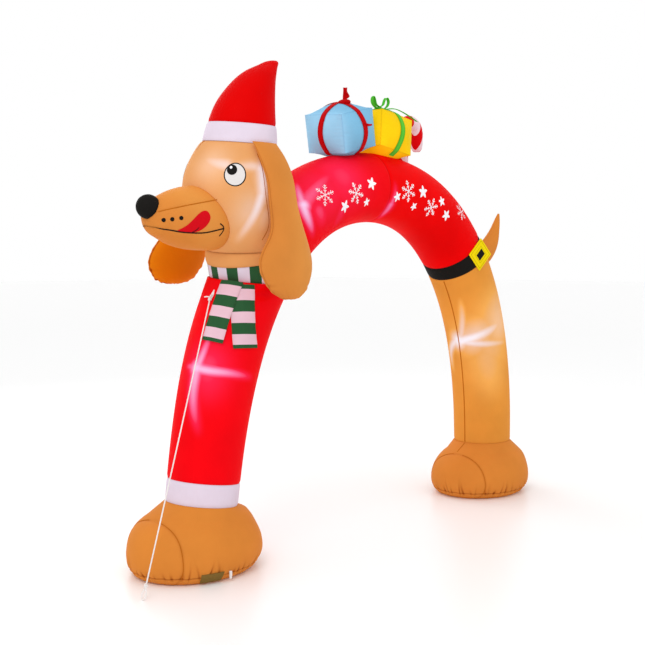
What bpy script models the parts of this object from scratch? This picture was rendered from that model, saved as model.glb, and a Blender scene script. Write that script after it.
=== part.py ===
"""An inflatable walk-through arch in the form of a long dog, filled with air.

Metres, +Z up. X runs along the span, with the dog's head and front foot at -X. Y is across the
passage. The ground is z = 0. Each piece that is cut and sewn on its own is an object of its own.
"""

from math import cos, pi, radians, sin

import bmesh
import bpy
import numpy as np
from mathutils import Euler, Matrix, Vector

GAP = 0.0003  # between pieces that meet at a seam
SEAT_GAP = 0.0012  # round a seat that a piece is cut to, as their facets differ
CLOTH = 0.0015  # thickness of a single layer

# Body tube, from the front cuff over the crown to the rear foot, in the plane y = 0.
BODY_SECTIONS = [
    # x       z      radius
    (-1.105, 0.297, 0.173),
    (-1.078, 0.493, 0.175),
    (-1.002, 0.861, 0.182),
    (-0.895, 1.165, 0.188),
    (-0.750, 1.418, 0.192),
    (-0.564, 1.622, 0.193),
    (-0.353, 1.757, 0.192),
    (-0.107, 1.832, 0.189),
    (0.213, 1.841, 0.187),
    (0.466, 1.777, 0.187),
    (0.686, 1.644, 0.186),
    (0.876, 1.438, 0.185),
    (1.017, 1.181, 0.183),
    (1.110, 0.872, 0.180),
    (1.156, 0.504, 0.177),
    (1.161, 0.311, 0.175),
]
# Seams across the tube, as distances along its centreline from the first section.
CUFF_BOTTOM = 0.010
CUFF_TOP = 0.116
CROWN_SEAM = 2.130
BELT_TOP = 2.992
BELT_BOTTOM = 3.096
LEG_BOTTOM = 4.268
TUBE_SIDES = 26

# Red column that carries the neck, standing out of the tube at the shoulder.
COLUMN_ROWS = [
    # z      x       y      radius
    (1.080, -0.925, 0.000, 0.120),
    (1.150, -0.902, 0.000, 0.158),
    (1.220, -0.873, 0.001, 0.184),
    (1.290, -0.838, 0.004, 0.198),
]

SHOULDER_LEDGE = 0.008  # the column is wider than the scarf band by this

# Head, neck and hat lean a little to the side about a point in the neck.
LEAN_HEIGHT = 1.460
LEAN_DEG = 5.5
HEAD_SIDES = 28
SCARF_ROWS = [
    # height above the lean point, x, radius, rise towards +X
    (-0.106, -0.787, 0.196, -0.038),
    (0.0035, -0.800, 0.200, 0.222),
]
NECK_ROWS = [
    (0.0035, -0.800, 0.204, 0.222),
    (0.029, -0.806, 0.207, 0.176),
    (0.054, -0.8115, 0.205, 0.132),
]
HEAD_ROWS = [
    (0.054, -0.8115, 0.205, 0.132),
    (0.080, -0.826, 0.220, 0.105),
    (0.130, -0.856, 0.235, 0.060),
    (0.220, -0.896, 0.247, 0.020),
    (0.310, -0.915, 0.248, 0.0),
    (0.400, -0.918, 0.236, 0.0),
    (0.470, -0.913, 0.214, 0.0),
    (0.525, -0.906, 0.189, 0.0),
    (0.548, -0.900, 0.177, 0.0),
]
HAT_BAND_ROWS = [
    (0.548, -0.900, 0.179, 0.0),
    (0.592, -0.896, 0.172, 0.0),
    (0.638, -0.892, 0.163, 0.0),
]
HAT_ROWS = [
    (0.638, -0.892, 0.161, 0.0),
    (0.726, -0.878, 0.142, 0.0),
    (0.789, -0.856, 0.122, 0.0),
    (0.858, -0.820, 0.094, 0.0),
    (0.902, -0.783, 0.069, 0.0),
    (0.932, -0.746, 0.045, 0.0),
    (0.951, -0.720, 0.024, 0.0),
    (0.957, -0.708, 0.008, 0.0),
]
# Snout: sections across x, with its centre height above the lean point.
MUZZLE_ROWS = [
    # x      height  half height, half width
    (-0.965, 0.192, 0.150, 0.155),
    (-1.083, 0.190, 0.152, 0.160),
    (-1.160, 0.188, 0.149, 0.156),
    (-1.238, 0.186, 0.137, 0.145),
    (-1.302, 0.185, 0.117, 0.126),
    (-1.357, 0.185, 0.092, 0.100),
    (-1.396, 0.185, 0.062, 0.068),
    (-1.415, 0.185, 0.027, 0.030),
]
MUZZLE_SIDES = 26
NOSE_RADIUS = 0.055
NOSE_X = -1.408
NOSE_HEIGHT = 0.229

EAR_SIDES = 20
EAR_STEPS = 14
NEAR_EAR_ROWS = [
    # z      half x x       y       half y
    (1.993, 0.074, -0.911, -0.240, 0.010),
    (1.958, 0.075, -0.901, -0.258, 0.026),
    (1.911, 0.078, -0.894, -0.282, 0.036),
    (1.820, 0.076, -0.875, -0.306, 0.044),
    (1.728, 0.076, -0.867, -0.316, 0.050),
    (1.660, 0.080, -0.857, -0.320, 0.055),
    (1.577, 0.098, -0.843, -0.322, 0.060),
    (1.489, 0.143, -0.853, -0.325, 0.064),
    (1.430, 0.158, -0.857, -0.326, 0.065),
    (1.365, 0.141, -0.852, -0.327, 0.060),
    (1.314, 0.107, -0.845, -0.328, 0.050),
    (1.283, 0.066, -0.838, -0.328, 0.034),
    (1.270, 0.028, -0.835, -0.328, 0.014),
]
FAR_EAR_ROWS = [
    (1.985, 0.050, -0.875, 0.155, 0.012),
    (1.960, 0.062, -0.877, 0.165, 0.030),
    (1.900, 0.075, -0.880, 0.200, 0.044),
    (1.820, 0.079, -0.885, 0.237, 0.050),
    (1.730, 0.086, -0.897, 0.273, 0.056),
    (1.640, 0.110, -0.915, 0.310, 0.060),
    (1.550, 0.145, -0.935, 0.345, 0.064),
    (1.468, 0.168, -0.953, 0.367, 0.066),
    (1.405, 0.152, -0.963, 0.375, 0.062),
    (1.360, 0.112, -0.970, 0.377, 0.050),
    (1.342, 0.074, -0.973, 0.377, 0.034),
    (1.334, 0.030, -0.974, 0.377, 0.014),
]

# Feet: half an ellipse long and wide, with the base drawn in to a flat panel.
FOOT_LENGTH = 0.338
FOOT_WIDTH = 0.284
FOOT_X = 1.1415  # centre of each foot from the middle between them
FOOT_SIDES = 57
FOOT_GATHERS = 19
GATHER_DEPTH = 0.006
GATHER_HEIGHT = 0.040
FOOT_ROWS = [
    # height, share of the full size, x shift of the front foot, of the rear foot
    (0.000, 0.800, -0.010, -0.012),
    (0.010, 0.865, -0.008, -0.010),
    (0.040, 0.940, -0.003, -0.005),
    (0.070, 0.985, 0.000, -0.002),
    (0.105, 1.000, 0.000, 0.000),
    (0.150, 0.980, -0.002, 0.004),
    (0.195, 0.925, -0.005, 0.011),
    (0.232, 0.848, 0.001, 0.022),
    (0.262, 0.745, 0.013, 0.029),
]
TOE_SEAM = 0.232  # from the foot's centre to the plane of the toe cap's seam

TAIL_ROWS = [
    # x     z      radius
    (1.010, 1.438, 0.069),
    (1.092, 1.467, 0.069),
    (1.184, 1.518, 0.059),
    (1.243, 1.581, 0.045),
    (1.282, 1.653, 0.028),
    (1.308, 1.720, 0.014),
    (1.318, 1.748, 0.006),
]
TAIL_SIDES = 16

BUCKLE_SIDE = 0.138
BUCKLE_THICK = 0.008
BUCKLE_AT = 3.046  # distance along the tube
BUCKLE_ROUND_DEG = 86.0  # round the tube: 0 is the outer side, 90 the -Y side
BUCKLE_TURN_DEG = 8.8
BUCKLE_TILT_DEG = 10.8
BUCKLE_EYE = (0.040, 0.050)

# Gift boxes, sewn to the crown. Faces bulge, corners stay.
BOX_SIZE = (0.250, 0.256, 0.201)
BOX_BULGE = 0.045
BOX_CUTS = 6
BLUE_BOX = ((-0.149, 0.0, 2.140), (4.6, -13.9, 1.5))
YELLOW_BOX = ((0.161, 0.0, 2.135), (-5.3, 9.1, -1.3))
RIBBON_WIDTH = 0.033
RIBBON_THICK = 0.003
STRAP_GAP = 0.0014
BLUE_KNOT = ((0.015, -0.033, 0.145), (0.034, 0.034, 0.016))
BLUE_SPANS = [
    # lowest point on the - face, on the + face, sideways shift
    (-1.0, 0.55, -0.010),
    (-1.0, -1.0, 0.000),
]
BLUE_TAILS = [
    # way across the ribbon, then rows of x, y, z and half width: the upright end
    [(1.0, -1.0, 0.0)]
    + [
        (-0.146, -0.030, 2.280, 0.013),
        (-0.149, -0.030, 2.299, 0.010),
        (-0.137, -0.030, 2.316, 0.018),
        (-0.143, -0.030, 2.337, 0.012),
        (-0.144, -0.030, 2.362, 0.011),
    ],
    # short end beside the -Y strap
    [(0.0, 0.0, 1.0)]
    + [
        (-0.152, -0.173, 2.160, 0.005),
        (-0.126, -0.181, 2.154, 0.006),
        (-0.106, -0.185, 2.157, 0.004),
    ],
]
YELLOW_KNOT = ((0.0, 0.0, 0.151), (0.040, 0.026, 0.014))
YELLOW_SPANS = [
    (0.55, -1.0, 0.000),
    (-1.0, -1.0, 0.000),
]
YELLOW_TAILS = [
    # left loop
    [(0.0, 1.0, 0.0)]
    + [
        (0.175, 0.000, 2.286, 0.009),
        (0.130, 0.000, 2.292, 0.009),
        (0.106, 0.000, 2.312, 0.010),
        (0.103, 0.000, 2.338, 0.010),
        (0.112, 0.000, 2.350, 0.010),
        (0.123, 0.000, 2.338, 0.010),
        (0.134, 0.000, 2.312, 0.009),
        (0.172, 0.000, 2.298, 0.009),
    ],
    # right loop
    [(0.0, 1.0, 0.0)]
    + [
        (0.165, 0.000, 2.286, 0.009),
        (0.200, 0.000, 2.292, 0.009),
        (0.230, 0.000, 2.312, 0.010),
        (0.237, 0.000, 2.338, 0.010),
        (0.224, 0.000, 2.352, 0.010),
        (0.206, 0.000, 2.338, 0.010),
        (0.194, 0.000, 2.312, 0.009),
        (0.168, 0.000, 2.298, 0.009),
    ],
    # long end over the +X edge
    [(0.0, 1.0, 0.3)]
    + [
        (0.180, -0.012, 2.283, 0.008),
        (0.235, -0.028, 2.293, 0.008),
        (0.308, -0.030, 2.288, 0.008),
        (0.391, -0.030, 2.266, 0.008),
        (0.458, -0.030, 2.243, 0.006),
    ],
]

CANE_RADIUS = 0.036
CANE_HOOK = 0.066
CANE_X = 0.412
CANE_Y = 0.045
CANE_FOOT = 1.900
CANE_SHOULDER = 2.184
CANE_END_DROP = 0.100

# Scarf ends: distance along the tube, middle of the strip round the tube, half its angle.
SCARF_TAIL_LIFT = 0.0045
LEFT_TAIL_ROWS = [
    # along, round deg, half deg, how much further along at the -Y edge than in the middle
    (1.018, 30.0, 16.0, 0.007),
    (0.900, 29.6, 15.7, 0.003),
    (0.742, 29.3, 15.6, 0.000),
]
RIGHT_TAIL_ROWS = [
    (1.017, 45.3, 15.8, 0.018),
    (0.930, 56.5, 15.9, 0.020),
    (0.841, 67.6, 16.9, 0.019),
    (0.753, 80.1, 19.3, 0.020),
]

# Guy rope: from the webbing tab on the chest down to a loop on the ground, held taut.
TAB_AT = 0.940
TAB_ROUND_DEG = 5.6
TAB_OUTLINE = [
    # along the tab from its hole, half width
    (-0.018, 0.0035),
    (-0.004, 0.0085),
    (0.008, 0.0085),
    (0.030, 0.0020),
]
ROPE_DIAMETER = 0.006
ROPE_GROUND = (-1.591, -0.208, 0.0035)
ROPE_SAG = 0.003
ROPE_POINTS = 74
KNOT_RADIUS = 0.0064
KNOT_TURNS = 2.5
GROUND_LOOP = [
    # across, along the rope
    (0.0033, -0.004),
    (0.0040, 0.003),
    (0.0100, 0.016),
    (0.0140, 0.032),
    (0.0090, 0.046),
    (0.0000, 0.051),
    (-0.0090, 0.046),
    (-0.0140, 0.032),
    (-0.0100, 0.016),
    (-0.0040, 0.003),
    (-0.0033, -0.004),
]
GROUND_LOOP_LENGTH = 0.051

# Pieces on the front foot: angle round the foot from +X, and height.
STAKE_LOOP_AT = (-94.0, 0.050)
INLET_ANGLES = (-123.0, -101.0)
INLET_HEIGHTS = (0.008, 0.054)


def smooth_through(rows, count, lengths=2):
    """Even steps of the natural cubic spline through the rows; the first columns are lengths."""
    knots = np.array(rows, float)
    steps = np.linalg.norm(np.diff(knots[:, :lengths], axis=0), axis=1)
    at = np.concatenate([[0.0], np.cumsum(steps)])
    size = len(knots)
    system = np.eye(size)
    right = np.zeros_like(knots)
    slope = np.diff(knots, axis=0) / steps[:, None]
    for i in range(1, size - 1):
        system[i, i - 1 : i + 2] = steps[i - 1], 2 * (steps[i - 1] + steps[i]), steps[i]
        right[i] = 6 * (slope[i] - slope[i - 1])
    bend = np.linalg.solve(system, right)
    t = np.linspace(0, at[-1], count)
    i = np.clip(np.searchsorted(at, t) - 1, 0, size - 2)
    step = steps[i][:, None]
    before = (t - at[i])[:, None]
    after = step - before
    curved = (bend[i] * after**3 + bend[i + 1] * before**3) / (6 * step)
    straight = (knots[i] / step - bend[i] * step / 6) * after
    return curved + straight + (knots[i + 1] / step - bend[i + 1] * step / 6) * before


BODY = smooth_through(BODY_SECTIONS, 1201)
BODY_ALONG = np.concatenate(
    [[0.0], np.cumsum(np.linalg.norm(np.diff(BODY[:, :2], axis=0), axis=1))]
)
BODY_HEADING = np.gradient(BODY[:, :2], BODY_ALONG, axis=0)


def on_body(along, round_deg=0.0, lift=0.0):
    """A point on the body tube: 0 degrees is the outer side, 90 the -Y side."""
    x, z, radius = (np.interp(along, BODY_ALONG, BODY[:, i]) for i in range(3))
    ahead_x, ahead_z = (np.interp(along, BODY_ALONG, BODY_HEADING[:, i]) for i in range(2))
    size = np.hypot(ahead_x, ahead_z)
    out = (radius + lift) * np.cos(np.radians(round_deg))
    side = (radius + lift) * np.sin(np.radians(round_deg))
    return np.stack([x - out * ahead_z / size, -side, z + out * ahead_x / size], -1)


def paint(name, colour, roughness=0.55):
    found = bpy.data.materials.get(name)
    if found:
        return found
    made = bpy.data.materials.new(name)
    made.use_nodes = True
    shader = made.node_tree.nodes["Principled BSDF"]
    shader.inputs["Base Color"].default_value = (*colour, 1.0)
    shader.inputs["Roughness"].default_value = roughness
    made.diffuse_color = (*colour, 1.0)
    return made


RED = ("red polyester", (0.80, 0.01, 0.02))
TAN = ("tan polyester", (0.72, 0.33, 0.10))
WHITE = ("white polyester", (0.85, 0.80, 0.85))
BLACK = ("black polyester", (0.02, 0.02, 0.02))
YELLOW = ("yellow polyester", (0.90, 0.68, 0.03))
BLUE = ("light blue polyester", (0.33, 0.58, 0.80))
STRIPED = ("striped scarf cloth", (0.25, 0.45, 0.28))
DARK_RED = ("dark red ribbon", (0.45, 0.01, 0.03))
GREEN = ("green ribbon", (0.15, 0.60, 0.12))
CANE_WHITE = ("cane cloth", (0.85, 0.70, 0.72))
MESH = ("olive inlet mesh", (0.25, 0.20, 0.08))
WEBBING = ("white webbing", (0.85, 0.85, 0.83), 0.7)


def collection(name, hidden=False):
    made = bpy.data.collections.new(name)
    bpy.context.scene.collection.children.link(made)
    made.hide_render = hidden
    return made


def place(mesh, name, colour):
    """A finished mesh as a named object of the arch."""
    made = bpy.data.objects.new(name, mesh)
    mesh.shade_smooth()
    mesh.set_sharp_from_angle(angle=radians(40))
    mesh.materials.append(paint(*colour))
    PARTS.objects.link(made)
    made.parent = STAND
    return made


def as_cutter(made):
    """Moves an object to the helpers, where a Boolean can use it but no view shows it."""
    PARTS.objects.unlink(made)
    HELPERS.objects.link(made)
    made.hide_render = True
    made.display_type = "WIRE"
    return made


def boolean(target, other, operation="DIFFERENCE"):
    made = target.modifiers.new(operation.lower(), "BOOLEAN")
    made.operation = operation
    made.object = other
    made.solver = "EXACT"


def rows_mesh(name, rows, closed, capped):
    """A skin over rows of points; closed rows are rings, capped ones get a face at each end."""
    build = bmesh.new()
    lines = [[build.verts.new(point) for point in row] for row in rows]
    last = 0 if closed else 1
    for lower, upper in zip(lines, lines[1:]):
        for i in range(len(lower) - last):
            j = (i + 1) % len(lower)
            build.faces.new((lower[i], lower[j], upper[j], upper[i]))
    if capped:
        build.faces.new(lines[0][::-1])
        build.faces.new(lines[-1])
    bmesh.ops.recalc_face_normals(build, faces=build.faces)
    mesh = bpy.data.meshes.new(name)
    build.to_mesh(mesh)
    build.free()
    return mesh


def loft(name, rings, colour):
    """A closed solid through the rings."""
    return place(rows_mesh(name, rings, True, True), name, colour)


def sheet(name, rows, thickness, colour):
    """A sheet over a grid of points, which run through the middle of its thickness."""
    made = place(rows_mesh(name, rows, False, False), name, colour)
    cloth = made.modifiers.new("cloth", "SOLIDIFY")
    cloth.thickness = thickness
    cloth.offset = 0.0
    return made


def band(name, rows, across, thickness, colour):
    """A ribbon through rows of x, y, z and half width; its width lies along across."""
    knots = np.array(rows, float)
    path = smooth_through(knots, 2 * len(knots) + 2, 3)
    across = np.array(across, float) / np.linalg.norm(across)
    rings = []
    for point, ahead in zip(path, np.gradient(path[:, :3], axis=0)):
        out = np.cross(ahead, across)
        out *= thickness / 2 / np.linalg.norm(out)
        side = across * point[3]
        centre = point[:3]
        corners = (side + out, -side + out, -side - out, side - out)
        rings.append([centre + corner for corner in corners])
    return loft(name, rings, colour)


def curve_tube(name, points, radii, sides, colour):
    """A round tube on a POLY curve with filled caps, as thick as the radii say."""
    data = bpy.data.curves.new(name, "CURVE")
    data.dimensions = "3D"
    data.bevel_depth = 1.0
    data.bevel_resolution = sides // 2 - 2
    data.use_fill_caps = True
    line = data.splines.new("POLY")
    line.points.add(len(points) - 1)
    for knot, point, radius in zip(line.points, points, radii):
        knot.co = (*point, 1.0)
        knot.radius = radius
    made = bpy.data.objects.new(name, data)
    data.materials.append(paint(*colour))
    PARTS.objects.link(made)
    made.parent = STAND
    return made


def as_mesh(curve):
    """The curve's solid as a mesh object of the same name, with its caps welded."""
    bpy.context.view_layer.update()
    graph = bpy.context.evaluated_depsgraph_get()
    mesh = bpy.data.meshes.new_from_object(curve.evaluated_get(graph))
    build = bmesh.new()
    build.from_mesh(mesh)
    bmesh.ops.remove_doubles(build, verts=build.verts, dist=0.00005)
    build.to_mesh(mesh)
    build.free()
    made = bpy.data.objects.new("solid", mesh)
    made.matrix_world = curve.matrix_world
    name = curve.name
    bpy.data.objects.remove(curve)
    made.name = name
    mesh.shade_smooth()
    mesh.set_sharp_from_angle(angle=radians(40))
    PARTS.objects.link(made)
    made.parent = STAND
    return made


def body_piece(name, start, end, steps, colour, grow=0.0):
    """The stretch of the body tube between two seams, each square to the tube."""
    turn = np.arange(TUBE_SIDES) * 360.0 / TUBE_SIDES
    rings = [on_body(along, turn, grow) for along in np.linspace(start, end, steps)]
    return loft(name, rings, colour)


def head_ring(row, grow=0.0):
    """A ring of the head's frame: height, x, radius and how much it rises towards +X."""
    turn = np.arange(HEAD_SIDES) * 2 * pi / HEAD_SIDES
    height, x, radius, rise = row
    ahead = (radius + grow) * np.cos(turn)
    side = (radius + grow) * np.sin(turn)
    return np.stack([x + ahead, side, height + rise * ahead], -1)


def leaning(made):
    """Hands a piece of the head over to the leaning frame."""
    made.parent = LEAN
    return made


def head_piece(name, table, steps, colour, last=False):
    """A round piece of the head, ending a gap below the next one unless it is the last."""
    rows = smooth_through(table, steps)
    if not last:
        rows[-1, 0] -= GAP
    return leaning(loft(name, [head_ring(row) for row in rows], colour))


def head_room():
    """The space of scarf band, neck, head and hat band, a gap larger all round.

    At the scarf it is wider in front, where the body ends level with the scarf's lower edge.
    """
    height, x, radius, rise = SCARF_ROWS[0]
    rings = [head_ring((height - GAP, x - 0.014, radius + 0.015, rise))]
    height, x, radius, rise = SCARF_ROWS[1]
    rings.append(head_ring((height, x - 0.003, radius + 0.0075, rise)))
    rows = [smooth_through(NECK_ROWS, 4)[1:-1], smooth_through(HEAD_ROWS, 13)[:-1]]
    for row in np.concatenate(rows + [smooth_through(HAT_BAND_ROWS, 4)]):
        rings.append(head_ring(row, 2 * GAP))
    return as_cutter(leaning(loft("head_room", rings, TAN)))


def build_body(room):
    body_piece("leg_cuff", CUFF_BOTTOM + GAP, CUFF_TOP - GAP, 3, WHITE)
    front = body_piece("body_front", CUFF_TOP, CROWN_SEAM - GAP, 25, RED)
    turn = np.arange(HEAD_SIDES) * 2 * pi / HEAD_SIDES
    rings = []
    for z, x, y, radius in COLUMN_ROWS:
        rings.append(np.stack([x + radius * np.cos(turn), y + radius * np.sin(turn), 0 * turn + z], -1))
    height, x, radius, rise = SCARF_ROWS[0]
    lean = Matrix.Translation((0, 0, LEAN_HEIGHT)) @ Matrix.Rotation(radians(LEAN_DEG), 4, "X")
    top = head_ring((height + 0.004, x, radius + SHOULDER_LEDGE, rise))
    rings.append([lean @ Vector(point) for point in top])
    boolean(front, as_cutter(loft("neck_column", rings, RED)), "UNION")
    boolean(front, room)
    body_piece("body_rear", CROWN_SEAM, BELT_TOP - GAP, 12, RED)
    body_piece("belt", BELT_TOP, BELT_BOTTOM - GAP, 3, BLACK)
    body_piece("rear_leg", BELT_BOTTOM, LEG_BOTTOM, 14, TAN)
    return front


def build_head(room):
    head_piece("scarf_band", SCARF_ROWS, 3, STRIPED)
    head_piece("neck", NECK_ROWS, 4, TAN)
    head_piece("head", HEAD_ROWS, 13, TAN)
    head_piece("hat_band", HAT_BAND_ROWS, 4, WHITE)
    head_piece("hat", HAT_ROWS, 11, RED, last=True)
    boolean(leaning(loft("muzzle", muzzle_rings(0.0), TAN)), room)
    ball = ellipsoid("nose", (NOSE_RADIUS, NOSE_RADIUS, NOSE_RADIUS), BLACK)
    nose = leaning(ball)
    nose.location = (NOSE_X, 0.0, NOSE_HEIGHT)
    boolean(nose, as_cutter(leaning(loft("muzzle_room", muzzle_rings(GAP), TAN))))
    for name, table in (("ear_near", NEAR_EAR_ROWS), ("ear_far", FAR_EAR_ROWS)):
        boolean(loft(name, ear_rings(table), TAN), room)


def ellipsoid(name, radii, colour, matrix=None):
    build = bmesh.new()
    bmesh.ops.create_uvsphere(build, u_segments=16, v_segments=9, radius=1.0)
    bmesh.ops.scale(build, vec=radii, verts=build.verts)
    mesh = bpy.data.meshes.new(name)
    build.to_mesh(mesh)
    build.free()
    made = place(mesh, name, colour)
    if matrix:
        made.matrix_world = matrix
    return made


def muzzle_rings(grow):
    """Upright rings across x."""
    turn = np.arange(MUZZLE_SIDES) * 2 * pi / MUZZLE_SIDES
    rings = []
    for x, height, high, wide in smooth_through(MUZZLE_ROWS, 12):
        side = (wide + grow) * np.cos(turn)
        rings.append(np.stack([0 * turn + x, side, height + (high + grow) * np.sin(turn)], -1))
    rings[-1][:, 0] -= grow
    return rings


def ear_rings(table):
    """Level rings of a flattened lobe."""
    turn = np.arange(EAR_SIDES) * 2 * pi / EAR_SIDES
    rings = []
    for z, long, x, y, thick in smooth_through(table, EAR_STEPS):
        ring = [x + long * np.cos(turn), y + thick * np.sin(turn), 0 * turn + z]
        rings.append(np.stack(ring, -1))
    return rings


def foot_rings(centre_x, side, tube_x, tube_z, tube_radius, tilt):
    """Rings from the flat base to the tube's end, which they meet round and tilted."""
    turn = np.arange(FOOT_SIDES) * 2 * pi / FOOT_SIDES
    pull = GATHER_DEPTH * np.cos(FOOT_GATHERS * turn)
    rings = []
    for row in FOOT_ROWS:
        height, share = row[:2]
        near_seam = np.exp(-(((height - GATHER_HEIGHT) / 0.030) ** 2))
        long = FOOT_LENGTH * share - pull * near_seam
        wide = FOOT_WIDTH * share - pull * near_seam
        x = centre_x + row[side] + long * np.cos(turn)
        rings.append(np.stack([x, wide * np.sin(turn), 0 * turn + height], -1))
    along = tube_radius * np.cos(turn)
    end = [tube_x + along * cos(tilt), tube_radius * np.sin(turn), tube_z - along * sin(tilt)]
    rings.append(np.stack(end, -1))
    return rings


def build_foot(name, centre_x, side, along):
    """A foot under the tube's end, parted at the toe seam into toe cap and foot."""
    x, z, radius = (float(np.interp(along, BODY_ALONG, BODY[:, i])) for i in range(3))
    ahead_x, ahead_z = (float(np.interp(along, BODY_ALONG, BODY_HEADING[:, i])) for i in range(2))
    tilt = np.arctan(ahead_x / ahead_z)
    rings = foot_rings(centre_x, side, x, z - GAP, radius, tilt)
    whole = rows_mesh(name, rings, True, True)
    pieces = []
    for piece_name, away, keep in ((name, 0.0, 1.0), (name.replace("foot", "toe_cap"), GAP, -1.0)):
        build = bmesh.new()
        build.from_mesh(whole)
        everything = build.verts[:] + build.edges[:] + build.faces[:]
        seam = (centre_x - TOE_SEAM - away, 0.0, 0.0)
        facing = (keep, 0.0, 0.0)
        cut = bmesh.ops.bisect_plane(
            build, geom=everything, plane_co=seam, plane_no=facing, clear_inner=True
        )
        edges = [item for item in cut["geom_cut"] if isinstance(item, bmesh.types.BMEdge)]
        bmesh.ops.contextual_create(build, geom=edges)
        bmesh.ops.recalc_face_normals(build, faces=build.faces)
        mesh = bpy.data.meshes.new(piece_name)
        build.to_mesh(mesh)
        build.free()
        pieces.append(place(mesh, piece_name, TAN))
    return pieces


def build_tail():
    rows = smooth_through(TAIL_ROWS, 11)
    points = np.stack([rows[:, 0], 0 * rows[:, 0], rows[:, 1]], -1)
    tail = as_mesh(curve_tube("tail", points, rows[:, 2], TAIL_SIDES, TAN))
    room = body_piece("tube_room", BELT_TOP - 0.1, BELT_BOTTOM + 0.5, 15, RED, 3 * GAP)
    boolean(tail, as_cutter(room))


def tube_frame(along, round_deg, lift, turn_deg=0.0, tilt_deg=0.0):
    """A frame on the tube's skin: x along the tube, y round it, z outwards."""
    origin = Vector(on_body(along, round_deg, lift))
    out = (origin - Vector(on_body(along, round_deg, lift - 0.1))).normalized()
    ahead = Vector(on_body(along + 0.01, round_deg, lift) - on_body(along - 0.01, round_deg, lift))
    ahead = (ahead - ahead.dot(out) * out).normalized()
    axes = Matrix((ahead, out.cross(ahead), out)).transposed().to_4x4()
    turned = Matrix.Rotation(radians(tilt_deg), 4, "X") @ Matrix.Rotation(radians(turn_deg), 4, "Z")
    return Matrix.Translation(origin) @ axes @ turned


def slab(name, outline, thickness, colour, matrix):
    """A flat patch with the given outline, standing on its frame."""
    rings = [[(x, y, z) for x, y in outline] for z in (0.0, thickness)]
    made = loft(name, rings, colour)
    made.matrix_world = matrix
    return made


def rectangle(long, wide):
    return [(-long, -wide), (long, -wide), (long, wide), (-long, wide)]


def build_buckle():
    seat = tube_frame(BUCKLE_AT, BUCKLE_ROUND_DEG, 0.002, BUCKLE_TURN_DEG, BUCKLE_TILT_DEG)
    half = BUCKLE_SIDE / 2
    plate = slab("buckle", rectangle(half, half), BUCKLE_THICK, YELLOW, seat)
    edge = plate.modifiers.new("edge", "BEVEL")
    edge.width = 0.002
    edge.segments = 2
    room = body_piece("belt_room", BELT_TOP - 0.1, BELT_BOTTOM + 0.1, 5, RED, GAP)
    boolean(plate, as_cutter(room))
    face = seat @ Matrix.Translation((0, 0, BUCKLE_THICK + GAP))
    eye_long, eye_wide = BUCKLE_EYE
    slab("buckle_eye", rectangle(eye_long / 2, eye_wide / 2), CLOTH, BLACK, face)


def puffed(point, grow=0.0):
    """Pushes a point of a box out by the crown of each face it lies on."""
    share = [2 * point[i] / BOX_SIZE[i] for i in range(3)]
    swell = [1 - value * value for value in share]
    moved = []
    for i in range(3):
        crown = BOX_BULGE * swell[(i + 1) % 3] * swell[(i + 2) % 3]
        moved.append(point[i] + share[i] ** 5 * (crown + grow))
    return moved


def box_frame(box):
    centre, turns = box
    return Matrix.Translation(centre) @ Euler([radians(value) for value in turns]).to_matrix().to_4x4()


def build_box(name, box, colour, grow=0.0):
    build = bmesh.new()
    bmesh.ops.create_cube(build, size=1.0)
    bmesh.ops.scale(build, vec=BOX_SIZE, verts=build.verts)
    bmesh.ops.subdivide_edges(build, edges=build.edges, cuts=BOX_CUTS, use_grid_fill=True)
    for vertex in build.verts:
        vertex.co = puffed(vertex.co, grow)
    mesh = bpy.data.meshes.new(name)
    build.to_mesh(mesh)
    build.free()
    made = place(mesh, name, colour)
    made.matrix_world = box_frame(box)
    return made


def strap_rows(across, low, high, shift, lift):
    """A strip over a box, along x for 0 and y for 1, from one face over the top to the other.

    low and high tell how far down it reaches on the two faces; from -1, the bottom edge, it
    goes on a little way under the box. The shift moves it sideways from the middle.
    """
    rise = [(-1.0, v) for v in np.linspace(low, 1.0, 8)]
    over = [(u, 1.0) for u in np.linspace(-0.8, 0.8, 7)]
    fall = [(1.0, v) for v in np.linspace(1.0, high, 8 if high < 0 else 4)]
    if low == -1.0:
        rise = [(u, -1.0) for u in (-0.72, -0.86)] + rise
    if high == -1.0:
        fall += [(u, -1.0) for u in (0.86, 0.72)]
    rows = []
    for u, v in rise + over + fall:
        row = []
        for side in (-0.5, 0.5):
            middle = shift + side * RIBBON_WIDTH
            point = [middle, middle, v * BOX_SIZE[2] / 2]
            point[across] = u * BOX_SIZE[across] / 2
            raised = puffed(point)
            raised[across] += lift * u * (abs(u) > 0.99)
            raised[2] += lift * v * (abs(v) > 0.99)
            row.append(raised)
        rows.append(row)
    return rows


def build_ribbon(name, box, spans, knot, tails, colour, seats):
    """Two straps crossed over a box, joined with their knot and loose ends to one piece."""
    frame = box_frame(box)
    lift = RIBBON_THICK / 2 + STRAP_GAP
    pieces = []
    for across, (low, high, shift) in enumerate(spans):
        rows = strap_rows(across, low, high, shift, lift + 0.0005 * across)
        rows = [[frame @ Vector(point) for point in row] for row in rows]
        pieces.append(sheet(f"{name}_{across}", rows, RIBBON_THICK, colour))
    place_of_knot, radii = knot
    matrix = frame @ Matrix.Translation(place_of_knot)
    pieces.append(ellipsoid(name + "_knot", radii, colour, matrix))
    for i, (across, *rows) in enumerate(tails):
        pieces.append(band(f"{name}_end_{i}", rows, across, RIBBON_THICK, colour))
    first = pieces[0]
    first.name = name
    for other in pieces[1:]:
        boolean(first, as_cutter(other), "UNION")
    for seat in seats:
        boolean(first, seat)


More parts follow.
